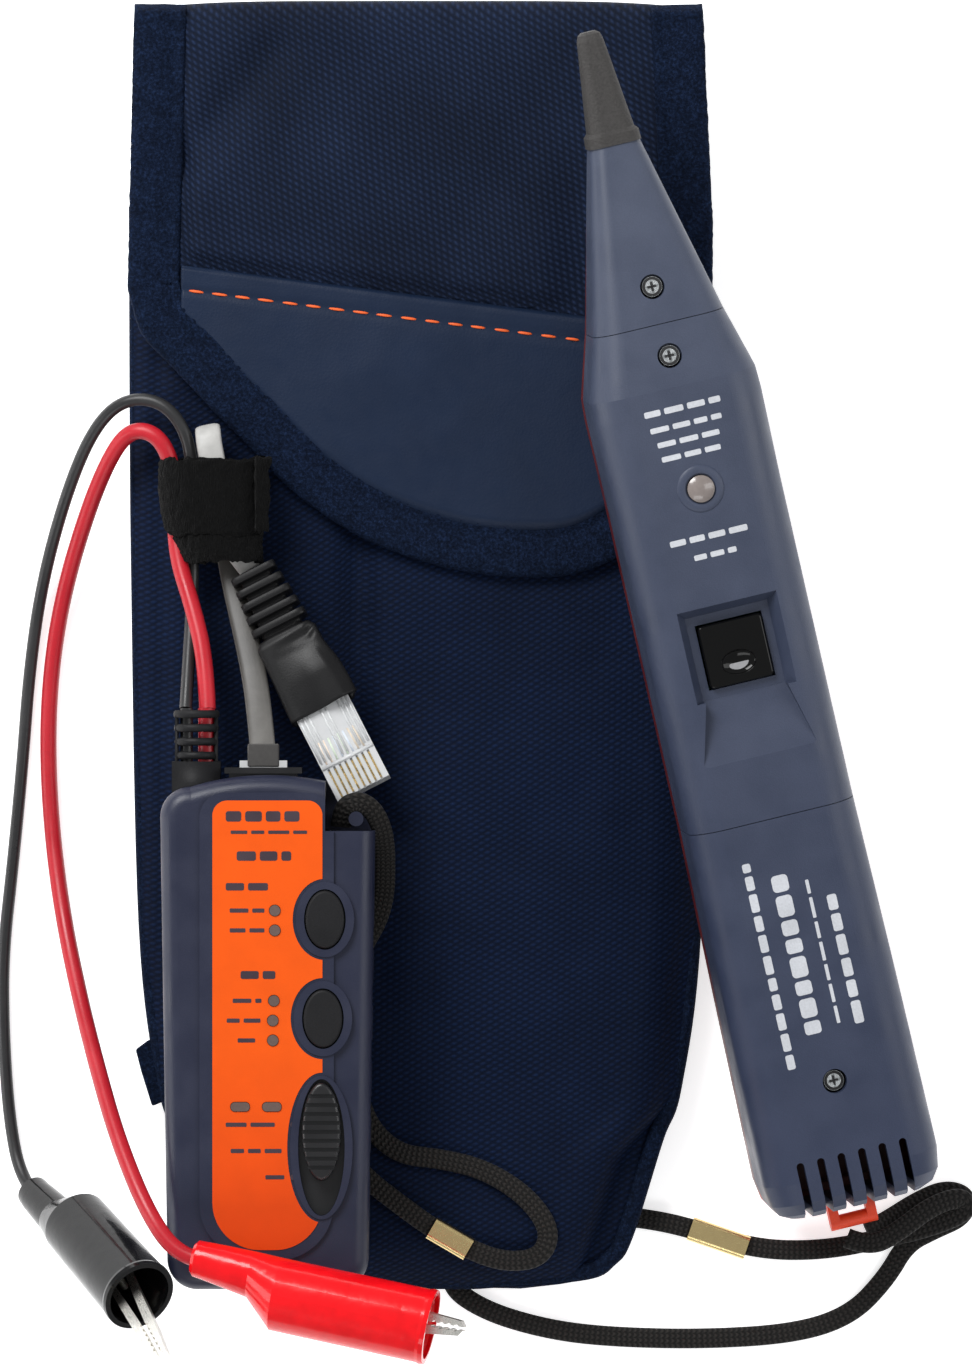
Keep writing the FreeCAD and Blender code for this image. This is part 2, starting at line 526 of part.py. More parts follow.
def make_toner():
    place = Placement(TONER_AT, Rotation())
    outer = toner_prism(0, 0, TONER_THICK)
    outer = rounded(rounded(outer, 3.2, TONER_THICK), 2.4, 0.0)
    pad = panel_box(-13.7, 13.4, -46.0, 48.4, TONER_THICK - 1, TONER_THICK + TONER_PAD, 5, 11.5)
    ovals = []
    for (x, y) in KEY_OVALS:
        ovals.append(oval(x, y, KEY_RING[0], KEY_RING[1], TONER_THICK - 1, TONER_THICK + 1.2))
    ovals.append(oval(SLIDE_AT[0], SLIDE_AT[1], SLIDE_RING[0], SLIDE_RING[1],
                      TONER_THICK - 1, TONER_THICK + 1.2))
    body = outer.fuse([pad] + ovals).removeSplitter()
    hollow = toner_prism(TONER_WALL, TONER_WALL, TONER_THICK - TONER_WALL)
    notch = box(11.6, 30, 40.6, 60, 5.0, 40)
    notch_wall = box(9.8, 30, 39.0, 60, 0.0, 40).common(toner_prism(0.02, 0.5, TONER_THICK - 3.3))
    post = rod(Vector(17.8, 43.0, 4), Vector(0, 0, 1), 1.5, 14.8)
    skin = body.cut(hollow).fuse(notch_wall).cut(notch).fuse(post)
    skin = skin.cut(grip_scallops())

    holes = [oval(x, y, KEY_RADII[0] + 0.25, KEY_RADII[1] + 0.25, 20, 30) for x, y in KEY_OVALS]
    holes.append(oval(SLIDE_AT[0], SLIDE_AT[1], SLIDE_SLOT[0], SLIDE_SLOT[1], 20, 30))
    holes += [rod(Vector(x, y, 20), Vector(0, 0, 1), 1.2, 10) for x, y in LAMPS]
    holes += [soft_box(x - 2.0, x + 2.0, y - 1.0, y + 1.0, 20, 30, 0.9) for x, y in BAR_LAMPS]
    ports = [box(JACK_X - 7.0, JACK_X + 7.0, 44, 60, CORD_Z - 6.2, CORD_Z + 6.2),
             rod(Vector(RELIEF_X, 40, CORD_Z), Vector(0, 1, 0), 3.6, 30)]
    upper = box(-40, 40, -70, 70, TONER_SPLIT + CLEAR, 40)
    lower = box(-40, 40, -70, 70, -5, TONER_SPLIT)
    front = skin.common(upper).cut(holes + ports)
    label_pad = label_solid()
    save("toner_front_shell", front.cut(label_pad), place)
    save("toner_label", label_pad.cut(holes), place)

    door_hole = box(-15.2, 15.2, -47, 6.2, -1, TONER_WALL + 0.01)
    screw_bores = [rod(Vector(x, y, -1), Vector(0, 0, 1), 2.3, 2.2) for x, y in toner_screw_places()]
    screw_bores += [rod(Vector(x, y, -1), Vector(0, 0, 1), 1.2, 8) for x, y in toner_screw_places()]
    rear = skin.common(lower).cut([door_hole] + screw_bores + ports)
    save("toner_rear_shell", rear, place)
    save("toner_battery_door", soft_box(-15.0, 15.0, -46.8, 6.0, 0.0, 1.9, 1.5), place)
    screws = []
    for x, y in toner_screw_places():
        head = rod(Vector(x, y, 0.1), Vector(0, 0, 1), 2.1, 1.1)
        head = head.cut([box(x - 1.3, x + 1.3, y - 0.3, y + 0.3, -1, 0.6),
                         box(x - 0.3, x + 0.3, y - 1.3, y + 1.3, -1, 0.6)])
        screws.append(head.fuse(rod(Vector(x, y, 1.2), Vector(0, 0, 1), 1.0, 4.2)).removeSplitter())
    save("toner_screws", group(screws), place)
    make_toner_controls(place)
    make_toner_inside(place)
    make_toner_ports(place)


def toner_screw_places():
    return [(-15.6, 40), (6.4, 42), (-17.4, -44.6), (17.4, -44.6)]


def label_solid():
    """Thin panel sticker, set into the pad, with bites round the three oval rings."""
    pad_top = TONER_THICK + TONER_PAD
    sheet = panel_box(-11.1, 11.1, -43.9, 46.8, pad_top - 0.2, pad_top + 0.15, 3, 9.6)
    bites = [oval(x, y, KEY_RING[0] + 0.6, KEY_RING[1] + 0.6, 20, 30) for x, y in KEY_OVALS]
    bites.append(oval(SLIDE_AT[0], SLIDE_AT[1], SLIDE_RING[0] + 0.6, SLIDE_RING[1] + 0.6, 20, 30))
    sheet = sheet.cut(bites)
    return max(sheet.Solids, key=lambda solid: solid.Volume)


def make_toner_controls(place):
    top = TONER_THICK + 1.7
    for node, (x, y) in zip(("toner_power_button", "toner_tone_button"), KEY_OVALS):
        key = oval(x, y, KEY_RADII[0], KEY_RADII[1], 23.2, top)
        save(node, rounded(key, 0.6, top), place)
    x, y = SLIDE_AT
    tray = oval(x, y, SLIDE_SLOT[0] - 0.05, SLIDE_SLOT[1] - 0.05, 23.3, 24.4)
    tray = tray.cut(box(x - 1.3, x + 1.3, KNOB_Y - 9.6, KNOB_Y + 3, 20, 30))
    save("toner_slide_tray", tray, place)
    knob = oval(x, KNOB_Y, KNOB_RADII[0], KNOB_RADII[1], 24.7, TONER_THICK + 2.2)
    knob = rounded(knob, 0.8, TONER_THICK + 2.2)
    for i in range(9):
        rib_y = KNOB_Y + (i - 4) * 1.8
        knob = knob.cut(box(x - 4, x + 4, rib_y - 0.4, rib_y + 0.4, TONER_THICK + 1.5, 40))
    stem = box(x - 1.0, x + 1.0, KNOB_Y - 1.5, KNOB_Y + 1.5, 23.0, 24.8)
    save("toner_slide_knob", knob.fuse(stem).removeSplitter(), place)
    lamps = [rod(Vector(lx, ly, 22.6), Vector(0, 0, 1), 1.1, TONER_THICK + 1.2 - 22.6) for lx, ly in LAMPS]
    lamps += [soft_box(lx - 1.9, lx + 1.9, ly - 0.9, ly + 0.9, 22.6, TONER_THICK + 1.2, 0.8)
              for lx, ly in BAR_LAMPS]
    save("toner_lamps", group(lamps), place)


def make_toner_inside(place):
    board_z = 20.0
    board = box(-17.0, 10.8, -46, 36, board_z, board_z + 1.4)
    board = board.fuse(box(10.8, 17.0, -46, 36, board_z, board_z + 1.4)).removeSplitter()
    save("toner_circuit_board", board, place)
    switches = [box(x - 3, x + 3, y - 3, y + 3, board_z + 1.4, 22.3) for x, y in KEY_OVALS]
    x, y = SLIDE_AT
    switches.append(box(x - 3.6, x + 3.6, y - 9, y + 9, board_z + 1.4, 22.7))
    save("toner_switches", group(switches), place)
    save("toner_battery", soft_box(-13.2, 13.2, -44, 4.5, 2.2, 19.6, 2.4), place)


def make_toner_ports(place):
    jack = box(JACK_X - 6.9, JACK_X + 6.9, 36.5, 53.0, CORD_Z - 6.1, CORD_Z + 6.1)
    flange = box(JACK_X - 7.8, JACK_X + 7.8, 52.2, 53.4, CORD_Z - 7.0, CORD_Z + 7.0)
    cavity = box(JACK_X - 4.95, JACK_X + 4.95, 40, 60, CORD_Z - 3.5, CORD_Z + 3.5)
    save("line_jack", jack.fuse(flange).removeSplitter().cut(cavity), place)
    plug = box(JACK_X - 4.8, JACK_X + 4.8, 42, PLUG_END_Y, CORD_Z - 3.3, CORD_Z + 3.3)
    save("line_plug", plug, place)
    core = rod(Vector(RELIEF_X, 45, CORD_Z), Vector(0, 1, 0), 3.5, RELIEF_END_Y - 45)
    collar = box(RELIEF_X - 5.0, RELIEF_X + 5.0, 51.2, 54.4, CORD_Z - 4.6, CORD_Z + 4.6)
    rings = [rod(Vector(RELIEF_X, 55.4 + 2.6 * i, CORD_Z), Vector(0, 1, 0), 4.4 - 0.1 * i, 1.5)
             for i in range(4)]
    save("strain_relief", core.fuse([collar] + rings).removeSplitter(), place)


# ------------------------------------------------------------------ clips
def boot(stations, wall):
    """A soft sleeve through circles (x, radius, sideways offset), open at both ends."""
    def tunnel(rows):
        rings = [Part.Wire(Part.Circle(Vector(x, side, 0), Vector(1, 0, 0), r).toShape())
                 for x, r, side in rows]
        return Part.makeLoft(rings, True, True)

    inner = [(x, r - wall, side) for x, r, side in stations]
    inner[0] = (inner[0][0] - CLEAR,) + inner[0][1:]
    inner[-1] = (inner[-1][0] + CLEAR,) + inner[-1][1:]
    return tunnel(stations).cut(tunnel(inner))


def jaw(pivot, tip, tail, rise, front_high, width):
    """One pressed-steel jaw with a toothed nose, side ears at the pivot and a raised handle."""
    side = [(tail, rise), (tail, rise + 0.8), (pivot - 6, rise + 0.9), (pivot, front_high + 0.6),
            (tip - 9, front_high), (tip - 0.8, 1.5), (tip, 0.35), (tip - 9, 0.35), (pivot + 4, 1.2),
            (pivot, 1.6), (pivot - 6, rise)]
    ring = [Vector(x, -width / 2, z) for x, z in side]
    solid = Part.Face(Part.makePolygon(ring + ring[:1])).extrude(Vector(0, width, 0))
    for i in range(6):
        x = tip - 1.6 - i * 1.5
        tooth = Part.makeCylinder(0.45, width + 2, Vector(x, -width / 2 - 1, 0.25), Vector(0, 1, 0))
        solid = solid.cut(tooth)
    return solid.cut(rod(Vector(pivot, -width, 0.0), Vector(0, 1, 0), 0.85, width * 2))


def make_clip(colour, ends, stations, wall, jaw_line, widths, sizes):
    """The sleeve on its own line; the jaws, tilted a little inside it, on theirs."""
    save(f"{colour}_boot", boot(stations, wall), along_axis(*ends))
    place = along_axis(*jaw_line, JAW_ROLL)
    wide, narrow = widths
    tip, tail, rise = sizes
    save(f"{colour}_upper_jaw", jaw(0.0, tip, tail + 1.0, rise, 2.3, narrow), place)
    lower = jaw(0.0, tip, tail, rise, 2.3, wide).mirror(Vector(0, 0, 0), Vector(0, 0, 1))
    save(f"{colour}_lower_jaw", lower, place)
    half_pin = wide / 2 + 0.6
    pin = rod(Vector(0, -half_pin, 0), Vector(0, 1, 0), 0.8, 2 * half_pin)
    save(f"{colour}_pivot", pin, place)


def make_clips():
    make_clip("red", RED_CLIP, RED_BOOT, BOOT_WALL, RED_JAWS, (5.2, 4.4), RED_JAW_SIZES)
    make_clip("black", BLACK_CLIP, BLACK_BOOT, BOOT_WALL, BLACK_JAWS, (4.6, 3.9), BLACK_JAW_SIZES)


# ------------------------------------------------------------------ network plug
def make_network_plug():
    place = along_axis(*PLUG_AXIS)
    block_start, seat = PLUG_BOOT_LENGTH - 17.4, PLUG_BOOT_LENGTH - 3.5
    core = box(0, block_start + 1, -3.6, 3.6, -3.0, 3.0)
    ribs = []
    for i in range(5):
        x, half = 0.6 + 2.9 * i, 4.9 + 0.25 * i
        ribs.append(soft_box(x, x + 1.9, -half, half, -4.0, 4.0, 0.6))
    block = rounded(box(block_start, PLUG_BOOT_LENGTH, -6.6, 6.6, -4.6, 4.6), 1.2, 4.6)
    plug_seat = box(seat, 60, -5.95, 5.95, -3.5, 3.5)
    latch_seat = box(seat - 1.4, 60, -3.6, 3.6, -5, -3)
    sleeve = core.fuse(ribs + [block]).removeSplitter().cut([plug_seat, latch_seat])
    save("plug_boot", sleeve, place)
    body = box(seat, PLUG_NOSE, -5.85, 5.85, -3.3, 3.3)
    lanes = [-4.6 + 1.27 * i for i in range(8)]
    channels = [box(PLUG_NOSE - 6.6, PLUG_NOSE + 1, y - 0.25, y + 0.25, 2.2, 3.4) for y in lanes]
    save("network_plug", body.cut(channels), place)
    pins = [box(PLUG_NOSE - 6.2, PLUG_NOSE - 0.4, y - 0.2, y + 0.2, 2.2, 3.0) for y in lanes]
    save("plug_contacts", group(pins), place)
    root, tail = PLUG_NOSE - 1.4, PLUG_BOOT_LENGTH + 1.1
    arm = [Vector(root, -2.0, -3.35), Vector(root, -2.0, -4.4),
           Vector(tail, -2.0, -6.2), Vector(tail, -2.0, -5.3)]
    latch = Part.Face(Part.makePolygon(arm + arm[:1])).extrude(Vector(0, 4.0, 0))
    save("plug_latch", latch, place)


def make_wrap():
    """Hook-and-loop strap wound round the folded leads: a flat oval sleeve and its tail end."""
    middle = Vector(-43.6, 20.6, 20.4)
    outer = soft_box(-10.6, 10.9, -6.4, 6.2, 0, 16.6, 4.6)
    lower = soft_box(-9.6, 10.5, -6.1, 5.9, -2.0, 0.0, 4.4)
    inner = soft_box(-8.8, 9.6, -4.8, 4.6, -3, 18, 2.2)
    upright = Placement(middle, Rotation(Vector(1, 0, 0), -90))
    save("cord_wrap", outer.fuse(lower).removeSplitter().cut(inner), upright)


def make_ferrule(node, start, end, width, height):
    place = along_axis(Vector(*start), Vector(*end))
    length = (Vector(*end) - Vector(*start)).Length
    outer = box(0, length, -width / 2, width / 2, -height / 2, height / 2)
    outer = outer.makeFillet(1.1, [e for e in outer.Edges if abs(e.tangentAt(e.FirstParameter).x) > 0.99])
    inner = box(-1, length + 1, -width / 2 + 0.4, width / 2 - 0.4, -height / 2 + 0.4, height / 2 - 0.4)
    inner = inner.makeFillet(0.7, [e for e in inner.Edges if abs(e.tangentAt(e.FirstParameter).x) > 0.99])
    save(node, outer.cut(inner), place)


def make_cords():
    save("black_lead", tube("black_lead", BLACK_ROUTE, BLACK_LEAD_D))
    save("red_lead", tube("red_lead", RED_ROUTE, RED_LEAD_D))
    save("line_cord", band("line_cord", LINE_ROUTE, *LINE_CORD, Vector(1, 0.2, 0)))
    save("probe_lanyard", tube("probe_lanyard", PROBE_LANYARD_ROUTE, LANYARD_D))
    save("toner_lanyard", tube("toner_lanyard", TONER_LANYARD_ROUTE, LANYARD_D))


def main():
    os.makedirs("parts", exist_ok=True)
    make_pouch()
    make_flap()
    make_probe()
    make_toner()
    make_clips()
    make_network_plug()
    make_wrap()
    make_cords()
    make_ferrule("probe_ferrule", (55.4, -119.2, 2.0), (67.0, -123.2, 2.2), 4.9, 3.3)
    make_ferrule("toner_ferrule", (2.4, -118.5, 15.95), (10.0, -122.9, 15.95), 4.9, 3.3)


main()
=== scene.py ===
"""Looks for the tone probe kit: fabric pouch, two hand tools, leads, clips and lanyards on a pale floor."""
import bpy
import math
import numpy as np
from mathutils import Matrix, Vector, noise


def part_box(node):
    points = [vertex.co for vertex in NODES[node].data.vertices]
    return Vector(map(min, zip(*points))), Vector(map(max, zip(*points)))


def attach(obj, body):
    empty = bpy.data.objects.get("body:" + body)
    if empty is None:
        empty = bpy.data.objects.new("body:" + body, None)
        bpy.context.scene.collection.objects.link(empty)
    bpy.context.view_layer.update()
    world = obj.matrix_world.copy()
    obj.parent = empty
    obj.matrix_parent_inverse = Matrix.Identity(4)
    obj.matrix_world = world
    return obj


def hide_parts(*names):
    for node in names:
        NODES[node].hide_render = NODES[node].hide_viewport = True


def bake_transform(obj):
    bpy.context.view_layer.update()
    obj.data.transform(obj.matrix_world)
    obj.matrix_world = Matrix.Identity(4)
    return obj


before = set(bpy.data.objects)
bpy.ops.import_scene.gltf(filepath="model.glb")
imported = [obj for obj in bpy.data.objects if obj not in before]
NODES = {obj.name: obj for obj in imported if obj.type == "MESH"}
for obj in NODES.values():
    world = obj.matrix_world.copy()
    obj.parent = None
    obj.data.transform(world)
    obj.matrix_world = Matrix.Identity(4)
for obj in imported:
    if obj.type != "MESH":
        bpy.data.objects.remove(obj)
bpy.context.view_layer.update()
MM = 0.001
UP = Vector((0, 0, 1))


# ------------------------------------------------------------------ camera
CAMERA_AT = (13.5, -7.4, 2600.0)
LENS_MM = 334.0
SENSOR_MM = 36.0


def make_camera():
    data = bpy.data.cameras.new("camera")
    data.lens = LENS_MM
    data.sensor_width = SENSOR_MM
    data.clip_end = 50.0
    camera = bpy.data.objects.new("camera", data)
    camera.location = [c * MM for c in CAMERA_AT]
    bpy.context.scene.collection.objects.link(camera)
    bpy.context.scene.camera = camera


# ------------------------------------------------------------------ node materials
class Finish:
    """A node material in the making: a Principled shader, and short calls that add nodes to it."""

    def __init__(self, name, color, roughness, **sockets):
        self.material = bpy.data.materials.new(name)
        self.material.use_nodes = True
        self.material.diffuse_color = (*color, 1)
        self.tree = self.material.node_tree
        self.shader = self.tree.nodes["Principled BSDF"]
        self.set("Base Color", (*color, 1))
        self.set("Roughness", roughness)
        for socket, value in sockets.items():
            self.set(socket.replace("_", " "), value)
        self.place = self.node("ShaderNodeTexCoord").outputs["Object"]
        self.heights = []

    def set(self, socket, value):
        self.shader.inputs[socket].default_value = value

    def node(self, kind, **properties):
        made = self.tree.nodes.new(kind)
        for key, value in properties.items():
            setattr(made, key, value)
        return made

    def link(self, source, target):
        self.tree.links.new(source, target)

    def mapped(self, scale=1.0, turn=(0, 0, 0), stretch=(1, 1, 1)):
        """Texture coordinates in millimetres, turned and stretched."""
        mapping = self.node("ShaderNodeMapping")
        mapping.inputs["Rotation"].default_value = [math.radians(a) for a in turn]
        mapping.inputs["Scale"].default_value = [s * scale / MM for s in stretch]
        self.link(self.place, mapping.inputs["Vector"])
        return mapping.outputs["Vector"]

    def noise(self, size_mm, detail=2.0, rough=0.5, stretch=(1, 1, 1)):
        made = self.node("ShaderNodeTexNoise")
        made.inputs["Scale"].default_value = 1.0
        made.inputs["Detail"].default_value = detail
        made.inputs["Roughness"].default_value = rough
        self.link(self.mapped(1.0 / size_mm, stretch=stretch), made.inputs["Vector"])
        return made.outputs["Fac"]

    def cells(self, size_mm, stretch=(1, 1, 1)):
        made = self.node("ShaderNodeTexVoronoi")
        made.inputs["Scale"].default_value = 1.0
        self.link(self.mapped(1.0 / size_mm, stretch=stretch), made.inputs["Vector"])
        return made.outputs["Distance"]

    def threads(self, row_mm, bead_mm, turn):
        """Raised threads in slanted rows, each thread a row of rounded beads: 1 on a bead, 0 between rows."""
        split = self.node("ShaderNodeSeparateXYZ")
        self.link(self.mapped(1.0, (0, 0, turn)), split.inputs[0])
        down = self.math("MULTIPLY_ADD", split.outputs["Z"], 0.3, split.outputs["Y"])
        across = self.math("MULTIPLY", down, 2 * math.pi / row_mm)
        half_step = self.math("MULTIPLY", across, 0.5)
        along = self.math("MULTIPLY_ADD", split.outputs["X"], 2 * math.pi / bead_mm, half_step)
        rows = self.math("MULTIPLY_ADD", self.math("SINE", across), 0.5, 0.5)
        beads = self.math("MULTIPLY_ADD", self.math("SINE", along), 0.4, 0.6)
        return self.math("MULTIPLY", rows, beads)

    def along_axis(self, axis, low_mm, high_mm):
        """0 to 1 between two places along one axis."""
        split = self.node("ShaderNodeSeparateXYZ")
        self.link(self.place, split.inputs[0])
        made = self.node("ShaderNodeMapRange")
        made.inputs["From Min"].default_value = low_mm * MM
        made.inputs["From Max"].default_value = high_mm * MM
        self.link(split.outputs[axis], made.inputs["Value"])
        return made.outputs[0]

    def attribute(self, name):
        return self.node("ShaderNodeAttribute", attribute_name=name).outputs["Fac"]

    def math(self, operation, *values):
        made = self.node("ShaderNodeMath", operation=operation)
        for i, value in enumerate(values):
            if isinstance(value, (int, float)):
                made.inputs[i].default_value = value
            else:
                self.link(value, made.inputs[i])
        return made.outputs[0]

    def ramp(self, factor, *stops):
        """Colours or greys along a factor: each stop is (position, colour)."""
        made = self.node("ShaderNodeValToRGB")
        elements = made.color_ramp.elements
        while len(elements) < len(stops):
            elements.new(0.5)
        for element, (position, color) in zip(elements, stops):
            element.position = position
            element.color = (*color, 1) if isinstance(color, tuple) else (color, color, color, 1)
        self.link(factor, made.inputs["Fac"])
        return made.outputs["Color"]

    def mix(self, factor, first, second, kind="MIX"):
        made = self.node("ShaderNodeMix", data_type="RGBA", blend_type=kind)
        for socket, value in ((made.inputs[0], factor), (made.inputs[6], first), (made.inputs[7], second)):
            if isinstance(value, (int, float)):
                socket.default_value = value
            elif isinstance(value, tuple):
                socket.default_value = (*value, 1)
            else:
                self.link(value, socket)
        return made.outputs[2]

    def spread(self, factor, low, high, start=0.3, end=0.7):
        """A ramp over the middle of a noise, where nearly all its values are."""
        return self.ramp(factor, (start, low), (end, high))

    def shade(self, tone, factor, low, high, start=0.3, end=0.7):
        """The tone times a spread of greys."""
        return self.mix(1.0, tone, self.spread(factor, low, high, start, end), "MULTIPLY")

    def color(self, output):
        self.link(output, self.shader.inputs["Base Color"])

    def roughness(self, output):
        self.link(output, self.shader.inputs["Roughness"])

    def bump(self, height, depth_mm):
        """One more layer of relief, depth_mm deep where height goes from 0 to 1."""
        self.heights.append(self.math("MULTIPLY", height, depth_mm * MM))

    def done(self):
        if self.heights:
            total = self.heights[0]
            for other in self.heights[1:]:
                total = self.math("ADD", total, other)
            made = self.node("ShaderNodeBump")
            made.inputs["Distance"].default_value = 1.0
            made.inputs["Strength"].default_value = 1.0
            self.link(total, made.inputs["Height"])
            self.link(made.outputs["Normal"], self.shader.inputs["Normal"])
        return self.material


def shaded(color, factor):
    return tuple(min(1.0, c * factor) for c in color)


def woven(name, color, row_mm, turn, lift=2.0, depth_mm=0.16):
    """Coarse nylon: raised threads in slanted rows, with slow changes of tone."""
    finish = Finish(name, color, 0.75, Specular_IOR_Level=0.07, Sheen_Weight=0.01, Sheen_Roughness=0.4)
    threads = finish.threads(row_mm, row_mm * 1.3, turn)
    slow = finish.noise(26, 3)
    fine = finish.noise(0.45, 2)
    tone = finish.ramp(threads, (0.05, shaded(color, 0.58)), (0.4, shaded(color, 1.02)),
                       (0.9, shaded(color, lift)))
    drifted = finish.shade(tone, slow, 0.78, 1.14, start=0.35, end=0.65)
    finish.color(finish.shade(drifted, fine, 0.8, 1.22))
    finish.roughness(finish.spread(fine, 0.62, 0.82))
    finish.bump(threads, depth_mm)
    finish.bump(fine, 0.04)
    return finish.done()


def fuzzy(name, color, lift, nap_mm):
    """Brushed tape: a short nap that catches light in specks."""
    finish = Finish(name, color, 0.9, Specular_IOR_Level=0.07, Sheen_Weight=0.10, Sheen_Roughness=0.5)
    finish.set("Sheen Tint", (*shaded(color, 8), 1))
    nap = finish.noise(nap_mm, 3, 0.65)
    patches = finish.noise(3.0, 2)
    tone = finish.ramp(nap, (0.34, shaded(color, 0.48)), (0.52, color), (0.68, shaded(color, lift)))
    finish.color(finish.shade(tone, patches, 0.8, 1.15))
    finish.bump(nap, 0.35)
    return finish.done()


def leather(name, color):
    """Smooth coated sheet with a fine grain."""
    finish = Finish(name, color, 0.55, Specular_IOR_Level=0.16)
    grain = finish.cells(0.55)
    cloud = finish.noise(16, 3)
    finish.color(finish.spread(cloud, shaded(color, 0.93), shaded(color, 1.08)))
    finish.roughness(finish.spread(finish.noise(3, 3), 0.44, 0.56))
    finish.bump(grain, 0.025)
    finish.bump(finish.noise(0.2, 1), 0.008)
    return finish.done()


def moulded(name, color, roughness=0.45, grain_mm=0.35, depth_mm=0.02, spread=0.1, wear=1.18, **sockets):
    """Moulded plastic or rubber: fine texture, cloudy tone and roughness."""
    finish = Finish(name, color, roughness, **sockets)
    cloud = finish.noise(9, 4)
    specks = finish.noise(grain_mm, 2)
    tone = finish.spread(cloud, shaded(color, 0.92), shaded(color, 1.06))
    finish.color(finish.mix(0.6, tone, finish.shade(tone, specks, 0.93, wear, end=0.75)))
    finish.roughness(finish.spread(cloud, max(0.03, roughness - spread), roughness + spread))
    finish.bump(specks, depth_mm)
    return finish.done()


def tone_painted_along_y(name, low_color, high_color, low_mm, high_mm, roughness, **sockets):
    """Moulded plastic with painted light and shade: its colour goes from low_color to high_color along Y."""
    finish = Finish(name, high_color, roughness, **sockets)
    painted_light_ramp = finish.ramp(finish.along_axis("Y", low_mm, high_mm), (0.0, low_color), (1.0, high_color))
    cloud = finish.noise(9, 4)
    specks = finish.noise(0.28, 2)
    worn = finish.shade(finish.spread(cloud, 0.93, 1.06), specks, 0.95, 1.1, end=0.75)
    finish.color(finish.mix(1.0, painted_light_ramp, worn, "MULTIPLY"))
    finish.roughness(finish.spread(cloud, roughness - 0.1, roughness + 0.1))
    finish.bump(specks, 0.03)
    return finish.done()


def printed_label(name, color, dark):
    """Coloured polycarbonate label, a little deeper in tone towards its lower end."""
    finish = Finish(name, color, 0.38, Specular_IOR_Level=0.25)
    low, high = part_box("toner_label")
    along = finish.along_axis("Y", low.y / MM, high.y / MM)
    tone = finish.ramp(along, (0.0, dark), (0.45, color))
    finish.color(finish.shade(tone, finish.noise(6, 3), 0.96, 1.04))
    finish.bump(finish.noise(0.3, 2), 0.012)
    return finish.done()


def metal(name, color, roughness, scratch=0.15, grime=0.5):
    """Plated metal: fine streaks, and dull spots as strong as grime says."""
    finish = Finish(name, color, roughness, Metallic=1.0)
    streaks = finish.noise(0.25, 3, stretch=(1, 6, 1))
    spots = finish.noise(1.6, 4, 0.6)
    worn = finish.ramp(spots, (0.42, grime), (0.6, 0.0))
    finish.color(finish.mix(worn, color, STAIN))
    finish.roughness(finish.spread(streaks, max(0.05, roughness - scratch), roughness + scratch))
    finish.bump(streaks, 0.015)
    return finish.done()


def clear(name, color, roughness, transmission):
    """See-through plastic, a little hazy."""
    finish = Finish(name, color, roughness, Transmission_Weight=transmission, IOR=PLASTIC_IOR)
    haze = finish.noise(1.4, 3)
    finish.roughness(finish.spread(haze, roughness, roughness + 0.06))
    finish.color(finish.spread(haze, shaded(color, 0.94), color))
    finish.bump(finish.noise(0.6, 2), 0.02)
    return finish.done()


def cord_grey(name):
    """Flat cord: taupe where it lies in shade low down, pale from the fold on."""
    finish = Finish(name, (0.2, 0.2, 0.2), 0.42, Specular_IOR_Level=0.4)
    along = finish.node("ShaderNodeMapRange")
    along.inputs["From Min"].default_value = 0.0
    along.inputs["From Max"].default_value = 100.0
    finish.link(finish.attribute("along"), along.inputs["Value"])
    tone = finish.ramp(along.outputs[0], (0.0, (0.16, 0.153, 0.143)), (0.22, (0.050, 0.047, 0.043)),
                       (0.5, (0.07, 0.066, 0.060)), (0.62, (0.41, 0.405, 0.39)), (1.0, (0.44, 0.435, 0.42)))
    finish.color(finish.shade(tone, finish.noise(2.5, 3), 0.88, 1.08))
    finish.bump(finish.noise(0.5, 2), 0.02)
    return finish.done()


def braided(name, color):
    """Flat braid: slanting strands that meet in the middle, from the band's own along and across values."""
    finish = Finish(name, color, 0.66, Specular_IOR_Level=0.2, Sheen_Weight=0.05)
    along, across = finish.attribute("along"), finish.attribute("across")
    swing = finish.math("SINE", finish.math("MULTIPLY", across, BRAID_LANES * math.pi / 2))
    lane = finish.math("ABSOLUTE", swing)
    pitches = finish.math("DIVIDE", along, BRAID_PITCH_MM)
    slant = finish.math("ADD", pitches, finish.math("MULTIPLY", lane, 0.35))
    beat = finish.math("SINE", finish.math("MULTIPLY", slant, 2 * math.pi))
    wave = finish.math("MULTIPLY_ADD", beat, 0.5, 0.5)
    strands = finish.math("MULTIPLY", wave, finish.math("POWER", lane, 0.5))
    fluff = finish.noise(0.3, 2)
    tone = finish.ramp(strands, (0.05, shaded(color, 0.35)), (0.95, shaded(color, BRAID_LIFT)))
    finish.color(finish.shade(tone, fluff, 0.75, 1.2))
    finish.bump(strands, 0.2)
    finish.bump(fluff, 0.06)
    return finish.done()


def pile(name, color, direction=(1, 1, 1)):
    """Hook-and-loop face: dense tufts."""
    finish = Finish(name, color, 0.95, Specular_IOR_Level=0.08, Sheen_Weight=0.03, Sheen_Roughness=0.6)
    tufts = finish.cells(0.55, stretch=direction)
    fluff = finish.noise(0.35, 3, 0.7, stretch=direction)
    finish.color(finish.ramp(fluff, (0.38, shaded(color, 0.35)), (0.55, color), (0.72, shaded(color, 4.0))))
    finish.bump(tufts, -0.3)
    finish.bump(fluff, 0.4)
    return finish.done()


